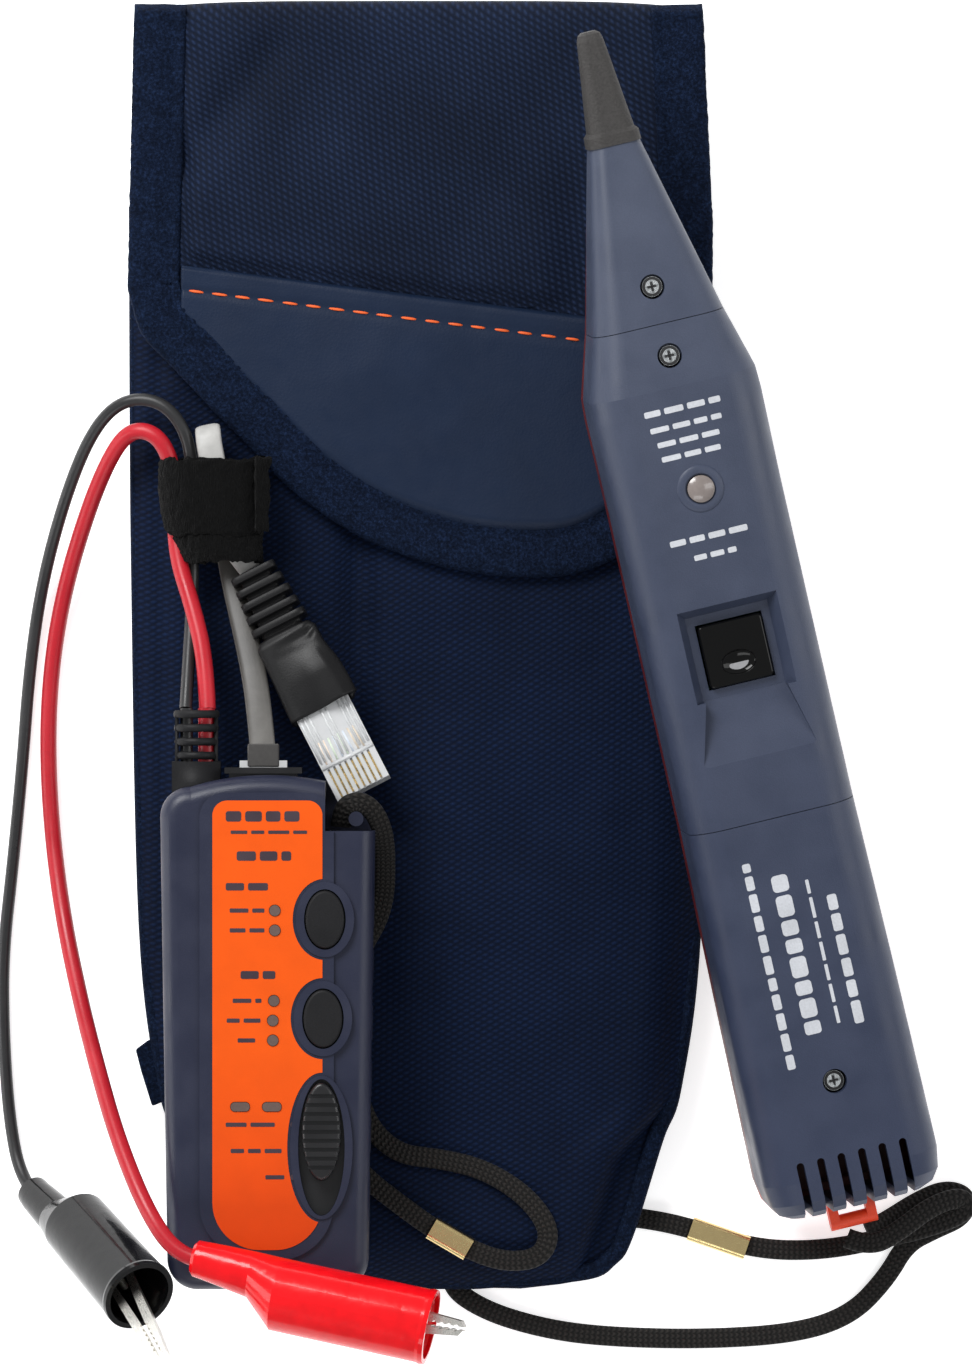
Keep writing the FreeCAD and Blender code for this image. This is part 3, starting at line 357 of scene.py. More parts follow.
BRAID_LANES = 4
BRAID_PITCH_MM = 1.1
BRAID_LIFT = 2.6
PLASTIC_IOR = 1.5
STAIN = (0.05, 0.04, 0.03)
NAVY = (0.0031, 0.0078, 0.0255)
FLAP_NAVY = (0.0066, 0.0118, 0.0290)
DARK_SLATE = (0.014, 0.017, 0.038)
# painted light: the probe's slate is darker at the tail and lighter at the nose, as light falls from the top
PROBE_SLATE_SHADED_TAIL, PROBE_SLATE_LIT_NOSE = (0.024, 0.033, 0.068), (0.051, 0.062, 0.096)
# painted shade: the rear shell is orange at the tail and painted dark red along its sides, for its shaded rim
SHELL_TAIL, SHELL_SHADED_SIDES = (0.80, 0.055, 0.012), (0.10, 0.008, 0.007)

MAT = {
    "fabric": woven("pouch_weave", NAVY, 1.1, -32, lift=1.5, depth_mm=0.11),
    "flap": woven("flap_weave", FLAP_NAVY, 1.15, 28, lift=1.75, depth_mm=0.15),
    "tape": fuzzy("binding_tape", (0.0040, 0.0083, 0.0222), lift=2.1, nap_mm=0.6),
    "leather": leather("leatherette", (0.0072, 0.0150, 0.0370)),
    "thread": moulded("orange_thread", (0.78, 0.115, 0.018), 0.6, 0.15, 0.05),
    "webbing": woven("webbing", (0.005, 0.009, 0.026), 1.1, 0),
    # painted light and shade along the probe: darker tail, lighter nose
    "slate": tone_painted_along_y("slate_plastic", PROBE_SLATE_SHADED_TAIL, PROBE_SLATE_LIT_NOSE, -112, 120, 0.44,
                      Specular_IOR_Level=0.4),
    "dark_slate": moulded("toner_plastic", DARK_SLATE, 0.40, 0.3, 0.03, Specular_IOR_Level=0.4),
    # painted shade on the rear shell's sides, orange only at the tail
    "orange": tone_painted_along_y("orange_plastic", SHELL_TAIL, SHELL_SHADED_SIDES, -114.5, -110.5, 0.4),
    "label": printed_label("orange_label", (0.75, 0.086, 0.002), (0.62, 0.050, 0.001)),
    "tip": moulded("conductive_rubber", (0.036, 0.034, 0.033), 0.62, 0.5, 0.16, wear=1.6,
                   Specular_IOR_Level=0.25),
    "gloss": moulded("gloss_black", (0.003, 0.003, 0.003), 0.09, 0.4, 0.004, spread=0.03,
                     Specular_IOR_Level=0.22),
    "rubber": moulded("black_rubber", (0.008, 0.008, 0.009), 0.55, 0.3, 0.04, wear=1.5,
                      Specular_IOR_Level=0.2),
    "knob": moulded("black_plastic", (0.007, 0.007, 0.008), 0.36, 0.3, 0.02),
    "boot": moulded("boot_rubber", (0.007, 0.007, 0.0075), 0.45, 0.35, 0.03, wear=1.3,
                    Specular_IOR_Level=0.22),
    "black_vinyl": moulded("black_vinyl", (0.006, 0.006, 0.0065), 0.2, 3.0, 0.10, spread=0.06,
                           Specular_IOR_Level=0.14, Coat_Weight=0.4, Coat_Roughness=0.06),
    "red_vinyl": moulded("red_vinyl", (0.76, 0.004, 0.008), 0.2, 3.0, 0.12, spread=0.06,
                         Specular_IOR_Level=0.22, Coat_Weight=0.3, Coat_Roughness=0.08),
    "black_lead": moulded("black_lead", (0.020, 0.020, 0.021), 0.36, 0.4, 0.015, Specular_IOR_Level=0.4),
    "red_lead": moulded("red_lead", (0.44, 0.010, 0.020), 0.36, 0.4, 0.015, Specular_IOR_Level=0.4),
    "grey_cord": cord_grey("grey_cord"),
    "braid": braided("lanyard_braid", (0.0085, 0.0075, 0.0068)),
    "pile": pile("hook_and_loop", (0.0019, 0.0019, 0.0020), (2.2, 0.5, 1)),
    "patch": pile("closure_pile", (0.012, 0.016, 0.030)),
    "brass": metal("ferrule_brass", (0.80, 0.62, 0.30), 0.22, scratch=0.06, grime=0.04),
    "contact": metal("contact_brass", (0.80, 0.60, 0.28), 0.25),
    "steel": metal("steel_screw", (0.80, 0.83, 0.84), 0.25, grime=0.2),
    "nickel": metal("nickel_jaw", (0.88, 0.86, 0.80), 0.32, grime=0.1),
    "plug": clear("clear_plug", (0.92, 0.93, 0.94), 0.08, transmission=0.42),
    "lens": moulded("pearl_lens", (0.20, 0.170, 0.158), 0.2, 1.5, 0.02, spread=0.05, Coat_Weight=0.4),
    "lamp": moulded("lamp_lens", (0.115, 0.080, 0.070), 0.35, 0.6, 0.02, Specular_IOR_Level=0.3),
    "board": moulded("circuit_board", (0.010, 0.110, 0.045), 0.4, 1.2, 0.03),
    "battery": moulded("battery_can", (0.045, 0.047, 0.052), 0.35, 2.0, 0.02, Metallic=0.4),
    # painted highlight for the button's dish
    "glint": moulded("painted_dish_glint", (0.30, 0.30, 0.31), 0.2, 0.8, 0.01, Coat_Weight=0.5),
    # painted shade for the screws' slots and the bores round their heads
    "dark": moulded("painted_recess_shade", (0.012, 0.012, 0.013), 0.6, 0.4, 0.01),
    "latch": moulded("smoked_latch", (0.055, 0.052, 0.050), 0.25, 0.8, 0.02, Coat_Weight=0.4),
    "print": moulded("printed_mark", (0.035, 0.020, 0.030), 0.5, 0.4, 0.01),
    "white_print": moulded("white_mark", (0.52, 0.535, 0.57), 0.5, 0.4, 0.01),
}
# each wire's colour through the clear plug, and the two lanes that it takes
WIRES = {"wire_orange": ((0.78, 0.66, 0.55), (-4.0, -2.9)), "wire_green": ((0.62, 0.70, 0.58), (-1.8, 0.4)),
         "wire_blue": ((0.58, 0.63, 0.70), (-0.7, 1.5)), "wire_brown": ((0.60, 0.52, 0.42), (2.6, 3.7))}
for wire, (wire_color, _) in WIRES.items():
    MAT[wire] = moulded(wire, wire_color, 0.4, 0.5, 0.01)


# ------------------------------------------------------------------ mesh tools (points in millimetres)
def piece(name, points, faces, key, body=None, smooth=True):
    mesh = bpy.data.meshes.new(name)
    mesh.from_pydata([tuple(c * MM for c in point) for point in points], [], faces)
    mesh.materials.append(MAT[key])
    mesh.validate()
    for polygon in mesh.polygons:
        polygon.use_smooth = smooth
    made = bpy.data.objects.new(name, mesh)
    bpy.context.scene.collection.objects.link(made)
    if body:
        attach(made, body)
    return made


def grid_faces(rows, columns, wrap=False, flip=False, start=0, ring=False):
    """Quads over rows of points; wrap joins the last column to the first, and ring the last row."""
    faces = []
    for r in range(rows if ring else rows - 1):
        here, after = start + r * columns, start + (r + 1) % rows * columns
        for c in range(columns if wrap else columns - 1):
            beside = (c + 1) % columns
            quad = (here + c, here + beside, after + beside, after + c)
            faces.append(quad[::-1] if flip else quad)
    return faces


def cap_ends(faces, rows, columns, start=0, flip=False):
    """Closes both ends of a tube made by grid_faces."""
    first = tuple(start + k for k in range(columns))
    last = tuple(start + (rows - 1) * columns + k for k in range(columns))
    faces += [first, last[::-1]] if flip else [first[::-1], last]


def circle(count):
    """Cosine and sine at evenly spaced angles, once round."""
    return [(math.cos(2 * math.pi * k / count), math.sin(2 * math.pi * k / count)) for k in range(count)]


def squared(value, power):
    """A cosine or sine bent towards a rounded square's."""
    return math.copysign(abs(value) ** power, value)


def thicken(obj, name, thickness_mm, offset=-1.0):
    modifier = obj.modifiers.new(name, "SOLIDIFY")
    modifier.thickness = thickness_mm * MM
    modifier.offset = offset


def bevel(obj, width_mm, segments=1):
    modifier = obj.modifiers.new("edge", "BEVEL")
    modifier.width = width_mm * MM
    modifier.segments = segments


def smooth_line(points, steps):
    """A curve through the points (Catmull-Rom), with steps stretches between each two."""
    pts = [np.array(p, float) for p in points]
    pts = [2 * pts[0] - pts[1]] + pts + [2 * pts[-1] - pts[-2]]
    line = []
    for a, b, c, d in zip(pts, pts[1:], pts[2:], pts[3:]):
        for i in range(steps):
            t = i / steps
            line.append(0.5 * (2 * b + (c - a) * t + (2 * a - 5 * b + 4 * c - d) * t ** 2
                               + (3 * b - a - 3 * c + d) * t ** 3))
    line.append(pts[-2])
    return np.array(line)


def spaced(line, count):
    """The same line with count points, evenly spaced."""
    line = np.array(line, float)
    along = np.concatenate([[0], np.cumsum(np.linalg.norm(np.diff(line, axis=0), axis=1))])
    at = np.linspace(0, along[-1], count)
    return np.stack([np.interp(at, along, line[:, k]) for k in range(line.shape[1])], axis=1)


def edge_distance(x, y, outline):
    """How far a point is from the nearest side of a closed outline."""
    a = np.array(outline, float)
    b = np.roll(a, -1, axis=0)
    p = np.array((x, y))
    d = b - a
    t = np.clip(((p - a) * d).sum(1) / np.maximum((d * d).sum(1), 1e-9), 0, 1)
    return float(np.linalg.norm(p - a - t[:, None] * d, axis=1).min())


def dip(x, y, start, end, width, depth):
    """Depth of a soft valley along a line from start to end."""
    p, a, b = Vector((x, y)), Vector(start), Vector(end)
    d = b - a
    t = min(1.0, max(0.0, (p - a).dot(d) / d.length_squared))
    return depth * math.exp(-((p - a - d * t).length / width) ** 2)


def ripple(x, y, size, seed=0.0):
    return noise.noise(Vector((x / size, y / size, seed)))


def ease(value, low, high):
    t = min(1.0, max(0.0, (value - low) / (high - low)))
    return t * t * (3 - 2 * t)


# ------------------------------------------------------------------ cords
BLACK_ROUTE = [(-47.4, -12.7, 29.6), (-46.9, -3, 25), (-46.4, 7, 20.4), (-46.2, 18.5, 19.2),
               (-46.2, 31.5, 19.6), (-46.9, 42.9, 20.2), (-52.2, 50, 20), (-60.2, 50.6, 18),
               (-66.6, 44.6, 15), (-72.4, 31.2, 9), (-77.6, 12.7, 3), (-80.2, -5.7, 1.5),
               (-81.4, -22.5, 1.4), (-83.4, -43.6, 1.5), (-85.6, -63.1, 1.4), (-85.4, -80.5, 1.6),
               (-84.2, -97, 1.9), (-81.9, -108.5, 3.9), (-79.0, -111.5, 8.7)]
RED_ROUTE = [(-43, -12.7, 29.6), (-43.4, -3, 27.8), (-45.9, 7.5, 24.7), (-49.5, 18.5, 21.3),
             (-49.8, 29.5, 20), (-50.4, 37.6, 20), (-53.4, 43.2, 20.2), (-58.4, 44.4, 19),
             (-62.6, 40, 15.6), (-67.8, 28.4, 9), (-73.2, 10.8, 3.4), (-75.8, -5.7, 2.1),
             (-76.4, -22.1, 2.0), (-75.3, -39.5, 3.2), (-72.9, -55.8, 8), (-69.2, -72, 17),
             (-65.2, -86.2, 28), (-61, -99.4, 38.4), (-55, -113.4, 48.2), (-49.0, -122.2, 50.7),
             (-44.6, -123.2, 51.3)]
LINE_ROUTE = [(-31.6, -23.1, 29.6), (-32.6, -11, 27.6), (-34.8, 0.3, 23.4), (-37.6, 12, 18.8),
              (-40, 25, 17.2), (-42.2, 36, 17.4), (-43, 41.4, 17.8), (-43.2, 44.3, 19),
              (-43.1, 44.2, 21.6), (-42.8, 41.2, 22.9), (-41.4, 34, 23.4), (-39.8, 26.4, 23),
              (-38.2, 20.6, 22.4), (-34.2, 15.8, 21)]
PROBE_LANYARD_ROUTE = [(91.6, -119.4, 8.8), (95.4, -117.6, 5.8), (101.6, -113.8, 2.6), (107.6, -111.2, 1.4),
                       (112.2, -112.6, 1.2), (111.4, -116.8, 1.2), (105.4, -119.4, 1.2), (99.6, -122.4, 1.2),
                       (95.6, -129.4, 1.2), (88.4, -137, 1.2), (76.9, -140.8, 1.2), (57.4, -142, 1.2),
                       (36.9, -141.4, 1.2), (24.6, -139.6, 1.2), (13, -136, 1.2), (5.6, -130.8, 1.2),
                       (7.6, -123.4, 1.2), (17, -118.2, 1.2), (30, -116.2, 1.2), (42, -116.6, 1.4),
                       (54, -118.6, 2), (68, -123.4, 2.2), (82, -123.8, 2.6), (96, -121.0, 3.6),
                       (106.4, -118.2, 4), (112.2, -115.4, 4.2), (111, -112.4, 5.2),
                       (104.6, -114.4, 7), (98, -119.4, 8.8), (92, -122.8, 9.6), (87.2, -120.8, 9.4)]
TONER_LANYARD_ROUTE = [(-15.9, -36.4, 32.4), (-15.6, -32.6, 33.8), (-12.4, -31.2, 34), (-9.4, -33, 33),
                       (-7.6, -36.8, 30), (-7, -41, 25.4), (-7, -45.6, 20.6), (-7.2, -50.6, 16.8),
                       (-8.6, -56, 15.3), (-12.6, -62.6, 15.3), (-14.2, -74, 15.3), (-14, -86, 15.3),
                       (-11, -97.4, 15.3), (-4.4, -103.6, 15.3), (4.2, -104.4, 15.3), (13.3, -106.6, 15.3),
                       (21.8, -112, 15.3), (26.8, -119, 15.3), (24.8, -124.6, 15.3),
                       (17.6, -125.6, 15.6), (9.8, -122.8, 15.9), (2.6, -118.6, 15.9),
                       (-4.6, -113.4, 15.3), (-12, -107.6, 15.3), (-18.4, -99, 15.3),
                       (-20.6, -86, 15.3), (-20.4, -74, 15.3), (-18.4, -64, 15.3), (-13.2, -57, 15.3)]
LINE_CORD_AXIS = Vector((1, 0.2, 0)).normalized()
LANYARD_WIDTH, LANYARD_THICK = 4.1, 1.4
BAND_SQUARE = 0.62


def route_curve(name, route, diameter_mm=0.0):
    """One smooth NURBS curve whose control points are the route's."""
    curve = bpy.data.curves.new(name, "CURVE")
    curve.dimensions = "3D"
    curve.resolution_u = 16
    curve.bevel_depth = diameter_mm / 2 * MM
    curve.bevel_resolution = 5
    curve.use_fill_caps = diameter_mm > 0
    spline = curve.splines.new("NURBS")
    spline.points.add(len(route) - 1)
    for control, (x, y, z) in zip(spline.points, route):
        control.co = (x * MM, y * MM, z * MM, 1)
    spline.order_u = 3
    spline.use_endpoint_u = True
    made = bpy.data.objects.new(name, curve)
    bpy.context.scene.collection.objects.link(made)
    return made


def route_line(route):
    """Points along the route's NURBS curve, in millimetres."""
    bare = route_curve("bare_route", route)
    mesh = bpy.data.meshes.new_from_object(bare)
    line = [Vector(v.co) / MM for v in mesh.vertices]
    curve = bare.data
    bpy.data.objects.remove(bare)
    bpy.data.curves.remove(curve)
    bpy.data.meshes.remove(mesh)
    return line


def round_lead(name, route, diameter, node):
    lead = route_curve(name, route, diameter)
    lead.data.materials.append(MAT[node])
    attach(lead, "toner")
    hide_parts(node)


def band_mesh(name, line, width, thickness, key, wide_axis=None):
    """A flat band along the line; its wide side is level, or along wide_axis where that is given."""
    around = circle(16)
    points, along, across = [], [], []
    travelled = 0.0
    side = None
    for i, here in enumerate(line):
        ahead = line[min(i + 1, len(line) - 1)] - line[max(i - 1, 0)]
        tangent = ahead.normalized()
        if wide_axis is not None:
            side = (wide_axis - tangent * wide_axis.dot(tangent)).normalized()
        elif side is None or abs(tangent.z) < 0.85:
            side = tangent.cross(UP).normalized()
        else:
            side = (side - tangent * side.dot(tangent)).normalized()
        up = side.cross(tangent)
        if i:
            travelled += (here - line[i - 1]).length
        for c, s in around:
            a, b = squared(c, BAND_SQUARE), squared(s, BAND_SQUARE)
            points.append(here + side * (a * width / 2) + up * (b * thickness / 2))
            along.append(travelled)
            across.append(a)
    faces = grid_faces(len(line), len(around), wrap=True, flip=True)
    cap_ends(faces, len(line), len(around), flip=True)
    made = piece(name, points, faces, key)
    for label, values in (("along", along), ("across", across)):
        attribute = made.data.attributes.new(label, "FLOAT", "POINT")
        attribute.data.foreach_set("value", values)
    return made


def flat_cord(name, route, width, thickness, key, body, node, wide_axis=None):
    line = route_line(route)
    band = band_mesh(name, line, width, thickness, key, wide_axis)
    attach(band, body)
    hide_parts(node)


def make_cords():
    round_lead("black_lead_wire", BLACK_ROUTE, 2.6, "black_lead")
    round_lead("red_lead_wire", RED_ROUTE, 3.4, "red_lead")
    flat_cord("line_cord_flat", LINE_ROUTE, 5.2, 2.0, "grey_cord", "toner", "line_cord",
              LINE_CORD_AXIS)
    lanyards = (("probe", PROBE_LANYARD_ROUTE, "pouch"), ("toner", TONER_LANYARD_ROUTE, "toner"))
    for tool, route, body in lanyards:
        flat_cord(tool + "_lanyard_braid", route, LANYARD_WIDTH, LANYARD_THICK, "braid", body,
                  tool + "_lanyard")


# ------------------------------------------------------------------ pouch
POUCH_RIGHT = [(57.8, 131.0), (59.6, 90), (59.2, 20), (57.6, -57), (53.6, -90), (49.8, -101),
               (43.5, -121), (40.0, -126.4), (33.8, -129.6), (12, -131.4)]
SMOOTH_RIGHT = smooth_line(POUCH_RIGHT, 10)[::-1, ::-1].T
POUCH_OUTLINE = POUCH_RIGHT + [(-x, y) for x, y in POUCH_RIGHT[::-1]]
BACK_UNDER, BACK_TOP, POCKET_TOP, POCKET_MOUTH = 5.6, 7.2, 14.0, 80.0
FLAP_CURVE = [(-59.3, 73), (-56.5, 64), (-50.5, 57.5), (-43, 49.4), (-35.5, 41.8), (-25.6, 31.8),
              (-14.8, 24.2), (-3.7, 19.1), (9, 15.6), (22.5, 14.4), (34, 15.8), (45, 21.5), (54, 30),
              (58.8, 41), (59.5, 85)]
FLAP_TOP_LEFT, FLAP_TOP_RIGHT = (-58.3, 128.6), (57.8, 128.6)
FLAP_UNDER = 15.45
# the fold behind the flap's top edge: y and drop on its outside, y and z on its inside
FOLD_OUTSIDE = ((130.3, -0.4), (131.3, -1.6), (131.9, -3.4), (132.0, -5.6), (131.7, -7.8), (131.0, -9.6))
FOLD_INSIDE = ((129.6, 14.2), (130.2, 11.5), (129.9, 8.6), (129.4, 7.2))
TAPE_TOP_LEFT, TAPE_TOP_RIGHT = (-57.9, 131.2), (57.4, 131.2)
PANEL_LEFT, PANEL_RIGHT = (-60, 79.2), (60, 64.0)
TAPE_WIDTH = 10.0
STITCH_DROP = 5.0
STITCHES_FROM, STITCHES_TO = -47.0, 47.5
PANEL_REACH = 48.6
# y, then x, of the line where the pocket ends in the lower right corner
GUSSET_LINE = ((-132, -120, -104, -97, -92), (30.5, 33.4, 38.8, 46.5, 51.5))


def half_width(y):
    return float(np.interp(y, *SMOOTH_RIGHT))


def pocket_height(x, y):
    """Top of the pockets: steep sides, two soft swellings, and the folds between them."""
    d = edge_distance(x, y, POUCH_OUTLINE)
    rise = 1 - (1 - min(1.0, d / 11.0)) ** 1.7
    z = BACK_TOP + 0.4 + (POCKET_TOP - BACK_TOP - 0.5) * rise
    inner = ease(d, 6, 22)
    z += 2.0 * inner * math.exp(-((x - 20) / 26) ** 2 - ((y + 42) / 46) ** 2)
    z += 0.5 * inner * math.exp(-((x + 38) / 14) ** 2 - ((y - 0) / 30) ** 2)
    z -= dip(x, y, (-12.5, 60), (-12.5, -22), 3.0, 3.2)
    z -= dip(x, y, (-12.5, -22), (-9, -70), 4.0, 1.0)
    gusset = float(np.interp(y, *GUSSET_LINE))
    z -= 4.0 * ease(x - gusset, -0.6, 3.0) * ease(-y, 90, 97)
    z += 0.9 * math.exp(-((x - gusset + 4.5) / 3.6) ** 2) * ease(-y, 84, 98) * ease(132 + y, 2, 20)
    z -= dip(x, y, (44.5, -103), (37.5, -121), 1.3, 0.9)
    z -= dip(x, y, (49.5, -99), (41, -124), 1.2, 0.7)
    z -= dip(x, y, (54, -60), (50, -92), 2.0, 0.6)
    z -= dip(x, y, (-53.5, 60), (-52, -60), 1.6, 0.9)
    z += 0.5 * inner * ripple(x, y, 17, 3.1) + 0.2 * inner * ripple(x, y, 6, 8.2)
    return max(z, BACK_TOP + 0.5)


def make_pocket_front():
    """The pouch's front fabric: closed sides, and an open mouth under the flap."""
    rows_y = np.concatenate([-131.4 + 10.0 * np.linspace(0, 1, 12) ** 1.6,
                             np.linspace(-119.6, POCKET_MOUTH, 120)])
    columns = np.sin(np.linspace(-0.5, 0.5, 75) * math.pi * 0.96) / math.sin(0.48 * math.pi)
    spots = [(c * (half_width(y) - 0.9), y) for y in rows_y for c in columns]
    points = [(x, y, pocket_height(x, y)) for x, y in spots]
    front = piece("pouch_front_fabric", points, grid_faces(len(rows_y), len(columns)), "fabric",
                  "pouch")
    thicken(front, "cloth", 1.2)
    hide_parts("front_pockets", "pocket_divider")


def make_pouch_back():
    """Back panel with soft hems, closed all round."""
    rows_y = np.linspace(-130.6, 130.4, 100)
    columns = np.linspace(-1, 1, 60)
    top, low = [], []
    for y in rows_y:
        reach = half_width(y) - 1.0
        for c in columns:
            x = c * reach
            sag = 0.25 * ripple(x, y, 20, 5.0)
            hem = 5.3 * ease(y, 120.5, 123.5)
            corner = 5.3 * ease(-x, 0.5, 3) * ease(-y, 116.5, 119)
            thin = min(1.0, edge_distance(x, y, POUCH_OUTLINE) / 1.6)
            top.append((x, y, BACK_TOP - 0.2 - 0.5 * (1 - thin) + 0.1 * sag))
            low.append((x, y, max(0.15, BACK_UNDER + 0.2 + 0.5 * (1 - thin) + 0.1 * sag - max(hem, corner))))
    count = len(top)
    n = len(columns)
    faces = grid_faces(len(rows_y), n) + grid_faces(len(rows_y), n, flip=True, start=count)
    rim = list(range(n)) + [r * n + n - 1 for r in range(1, len(rows_y))]
    rim += [count - 1 - c for c in range(1, n)] + [r * n for r in range(len(rows_y) - 2, 0, -1)]
    for a, b in zip(rim, rim[1:] + rim[:1]):
        faces.append((b, a, a + count, b + count))
    back = piece("pouch_back_fabric", top + low, faces, "fabric", "pouch")
    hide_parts("back_panel")


def strip_along(name, line, section, body, height=None):
    """Binding tape swept along a flat line: section points are (distance inwards, height)."""
    points = []
    for (x, y), (nx, ny) in zip(line, inward_normals(line)):
        for s, h in section:
            px, py = x + nx * s, y + ny * s
            base = height(px, py) if height else 0.0
            points.append((px, py, base + h))
    faces = grid_faces(len(line), len(section), wrap=True)
    cap_ends(faces, len(line), len(section))
    return piece(name, points, faces, "tape", body)


def inward_normals(line):
    """Unit normals on the left of the line's way."""
    d = np.gradient(np.array(line, float), axis=0)
    d /= np.linalg.norm(d, axis=1)[:, None]
    return np.stack([-d[:, 1], d[:, 0]], axis=1)


def make_pouch_binding():
    """Folded tape over the pouch's edge, from the left side of the mouth round the bottom to the right."""
    right = smooth_line([(x, y) for x, y in POUCH_RIGHT if y < 127], 8)
    left = [(-x, y) for x, y in right]
    line = spaced(left + [tuple(p) for p in right[::-1]], 420)
    section = [(3.2, BACK_UNDER - 0.5), (1.0, BACK_UNDER - 0.7), (0.1, BACK_UNDER + 0.4), (0.0, BACK_TOP),
               (0.5, BACK_TOP + 1.1), (1.6, BACK_TOP + 1.5), (3.0, BACK_TOP + 1.7), (3.5, BACK_TOP + 1.3),
               (2.8, BACK_TOP + 0.2), (2.4, BACK_UNDER + 0.6)]
    made = strip_along("pouch_edge_tape", line, section, "pouch")
    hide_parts("pouch_binding")


def panel_y(x):
    """Where the panel's straight upper edge is at this x."""
    along = (x - PANEL_LEFT[0]) / (PANEL_RIGHT[0] - PANEL_LEFT[0])
    return PANEL_LEFT[1] + along * (PANEL_RIGHT[1] - PANEL_LEFT[1])


def flap_height(x, y):
    """Top of the flap's fabric."""
    z = 17.3
    z += 0.9 * math.exp(-((x + 8) / 34) ** 2 - ((y - 104) / 22) ** 2)
    z += 0.9 * math.exp(-((x + 12) / 30) ** 2 - ((y - 52) / 22) ** 2) * ease(30 - x, 0, 30)
    above = y - panel_y(x)
    inside = ease(34 - x, 0, 10) * ease(x, -48.6, -45.5)
    z += 2.3 * inside * ease(above, 0.4, 3.6) * ease(48 - above, 0, 40)
    z -= 0.9 * inside * math.exp(-((above - 0.6) / 0.9) ** 2)
    z -= 0.5 * ease(-above, -0.8, 1.5)
    z -= dip(x, y, (-30, 121), (-47, 100), 4.6, 1.7)
    z -= dip(x, y, (-14, 118), (10, 92), 9.0, 0.7)
    z -= dip(x, y, (-49, 126), (-48.5, 80), 2.2, 0.45)
    z -= dip(x, y, (48, 126), (48.5, 74), 2.2, 0.35)
    z += 0.34 * ripple(x, y, 15, 1.4) + 0.10 * ripple(x, y, 5, 4.4)
    z -= 1.2 * ease(y, 124.5, 130.5)
    return z


def top_arch(x):
    """How far the fold's line falls back towards its corners."""
    return 1.9 * (abs(x) / 58.0) ** 5


def make_flap_fabric():
    """The flap and the fold that joins it to the back of the pouch, in one cloth."""
    columns = 96
    bottom = spaced(smooth_line(FLAP_CURVE, 10), columns)
    tops = spaced([FLAP_TOP_LEFT, FLAP_TOP_RIGHT], columns)
    rows = 60
    upper, under = [], []
    for r in range(rows):
        v = r / (rows - 1)
        for (bx, by), (tx, ty) in zip(bottom, tops):
            x, y = bx + (tx - bx) * v, by + (ty - top_arch(tx) - by) * v
            upper.append((x, y, flap_height(x, y)))
            under.append((x, y, FLAP_UNDER))
    outer = upper + [(tx, y - top_arch(tx), flap_height(tx, FLAP_TOP_LEFT[1]) - 0.9 + drop)
                     for y, drop in FOLD_OUTSIDE for tx, _ in tops]
    inner = under + [(tx, y - top_arch(tx), z) for y, z in FOLD_INSIDE for tx, _ in tops]
    outer_rows, inner_rows = rows + len(FOLD_OUTSIDE), rows + len(FOLD_INSIDE)
    count = len(outer)
    faces = grid_faces(outer_rows, columns) + grid_faces(inner_rows, columns, flip=True, start=count)
    for c in range(columns - 1):
        faces.append((c + 1, c, count + c, count + c + 1))
        a, b = (outer_rows - 1) * columns + c, count + (inner_rows - 1) * columns + c
        faces.append((a, a + 1, b + 1, b))
    for side in (0, columns - 1):
        outer_side = [r * columns + side for r in range(outer_rows)]
        inner_side = [count + r * columns + side for r in range(inner_rows)]
        for r in range(inner_rows - 1):
            quad = (outer_side[r], outer_side[r + 1], inner_side[r + 1], inner_side[r])
            faces.append(quad if side else quad[::-1])
        tail = (outer_side[inner_rows - 1], *outer_side[inner_rows:], inner_side[-1])
        faces.append(tail if side else tail[::-1])
    flap = piece("flap_fabric", outer + inner, faces, "flap", None)
    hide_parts("flap_cover")
    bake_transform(flap)


def tape_height(x, y):
    """The tape lies on the flap, and turns down over the fold at its two ends."""
    flat = max(16.9, min(17.7, flap_height(x, min(y, 126.0))))
    return flat - 3.4 * ease(y, 128.2, 131.6) ** 2


def make_flap_tape():
    """Tape along the flap's edge, from its top left corner round the bottom to its top right corner."""
    curve = [TAPE_TOP_LEFT] + [tuple(p) for p in smooth_line(FLAP_CURVE, 10)] + [TAPE_TOP_RIGHT]
    line = spaced(curve, 380)
    section = [(7.0, -2.15), (1.5, -2.3), (-0.15, -1.6), (-0.3, -0.6), (0.0, 0.35), (1.0, 0.85), (3.0, 1.0),
               (6.0, 0.95), (7.9, 0.55), (8.3, 0.5), (8.8, 0.8), (9.8, 0.75), (10.3, 0.3), (10.1, -0.3),
               (5, -0.5)]
    made = strip_along("flap_edge_tape", line, section, "flap", tape_height)
    nap = made.modifiers.new("nap", "DISPLACE")
    nap.texture = bpy.data.textures.new("nap", "CLOUDS")
    nap.texture.noise_scale = 0.9 * MM
    nap.texture_coords = "LOCAL"
    nap.strength = 0.35 * MM
    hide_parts("flap_binding")


def make_flap_panel():
    """Smooth panel below the fold: its top edge is turned in and stitched down."""
    columns, rows = 100, 40
    border = spaced(smooth_line(FLAP_CURVE, 10), 400)
    inset = border + inward_normals(border) * (TAPE_WIDTH - 0.6)
    keep = inset[(inset[:, 1] < [panel_y(x) - 1.0 for x in inset[:, 0]]) & (abs(inset[:, 0]) < PANEL_REACH)]
    bottom = spaced(keep, columns)
    points = []
    for r in range(rows):
        v = (r / (rows - 1)) ** 0.8
        for x, by in bottom:
            top = panel_y(x)
            y = by + (top - by) * v
            depth = top - y
            z = max(flap_height(x, min(y, top - 4)), 17.0) + 0.75
            z -= 0.35 * math.exp(-((depth - STITCH_DROP) / 0.8) ** 2)
            z -= 0.5 * ease(0.9 - depth, 0, 0.9)
            points.append((x, y, z))
    panel = piece("flap_leatherette", points, grid_faces(rows, columns), "leather", "flap")
    thicken(panel, "sheet", 0.8)
    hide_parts("flap_panel")


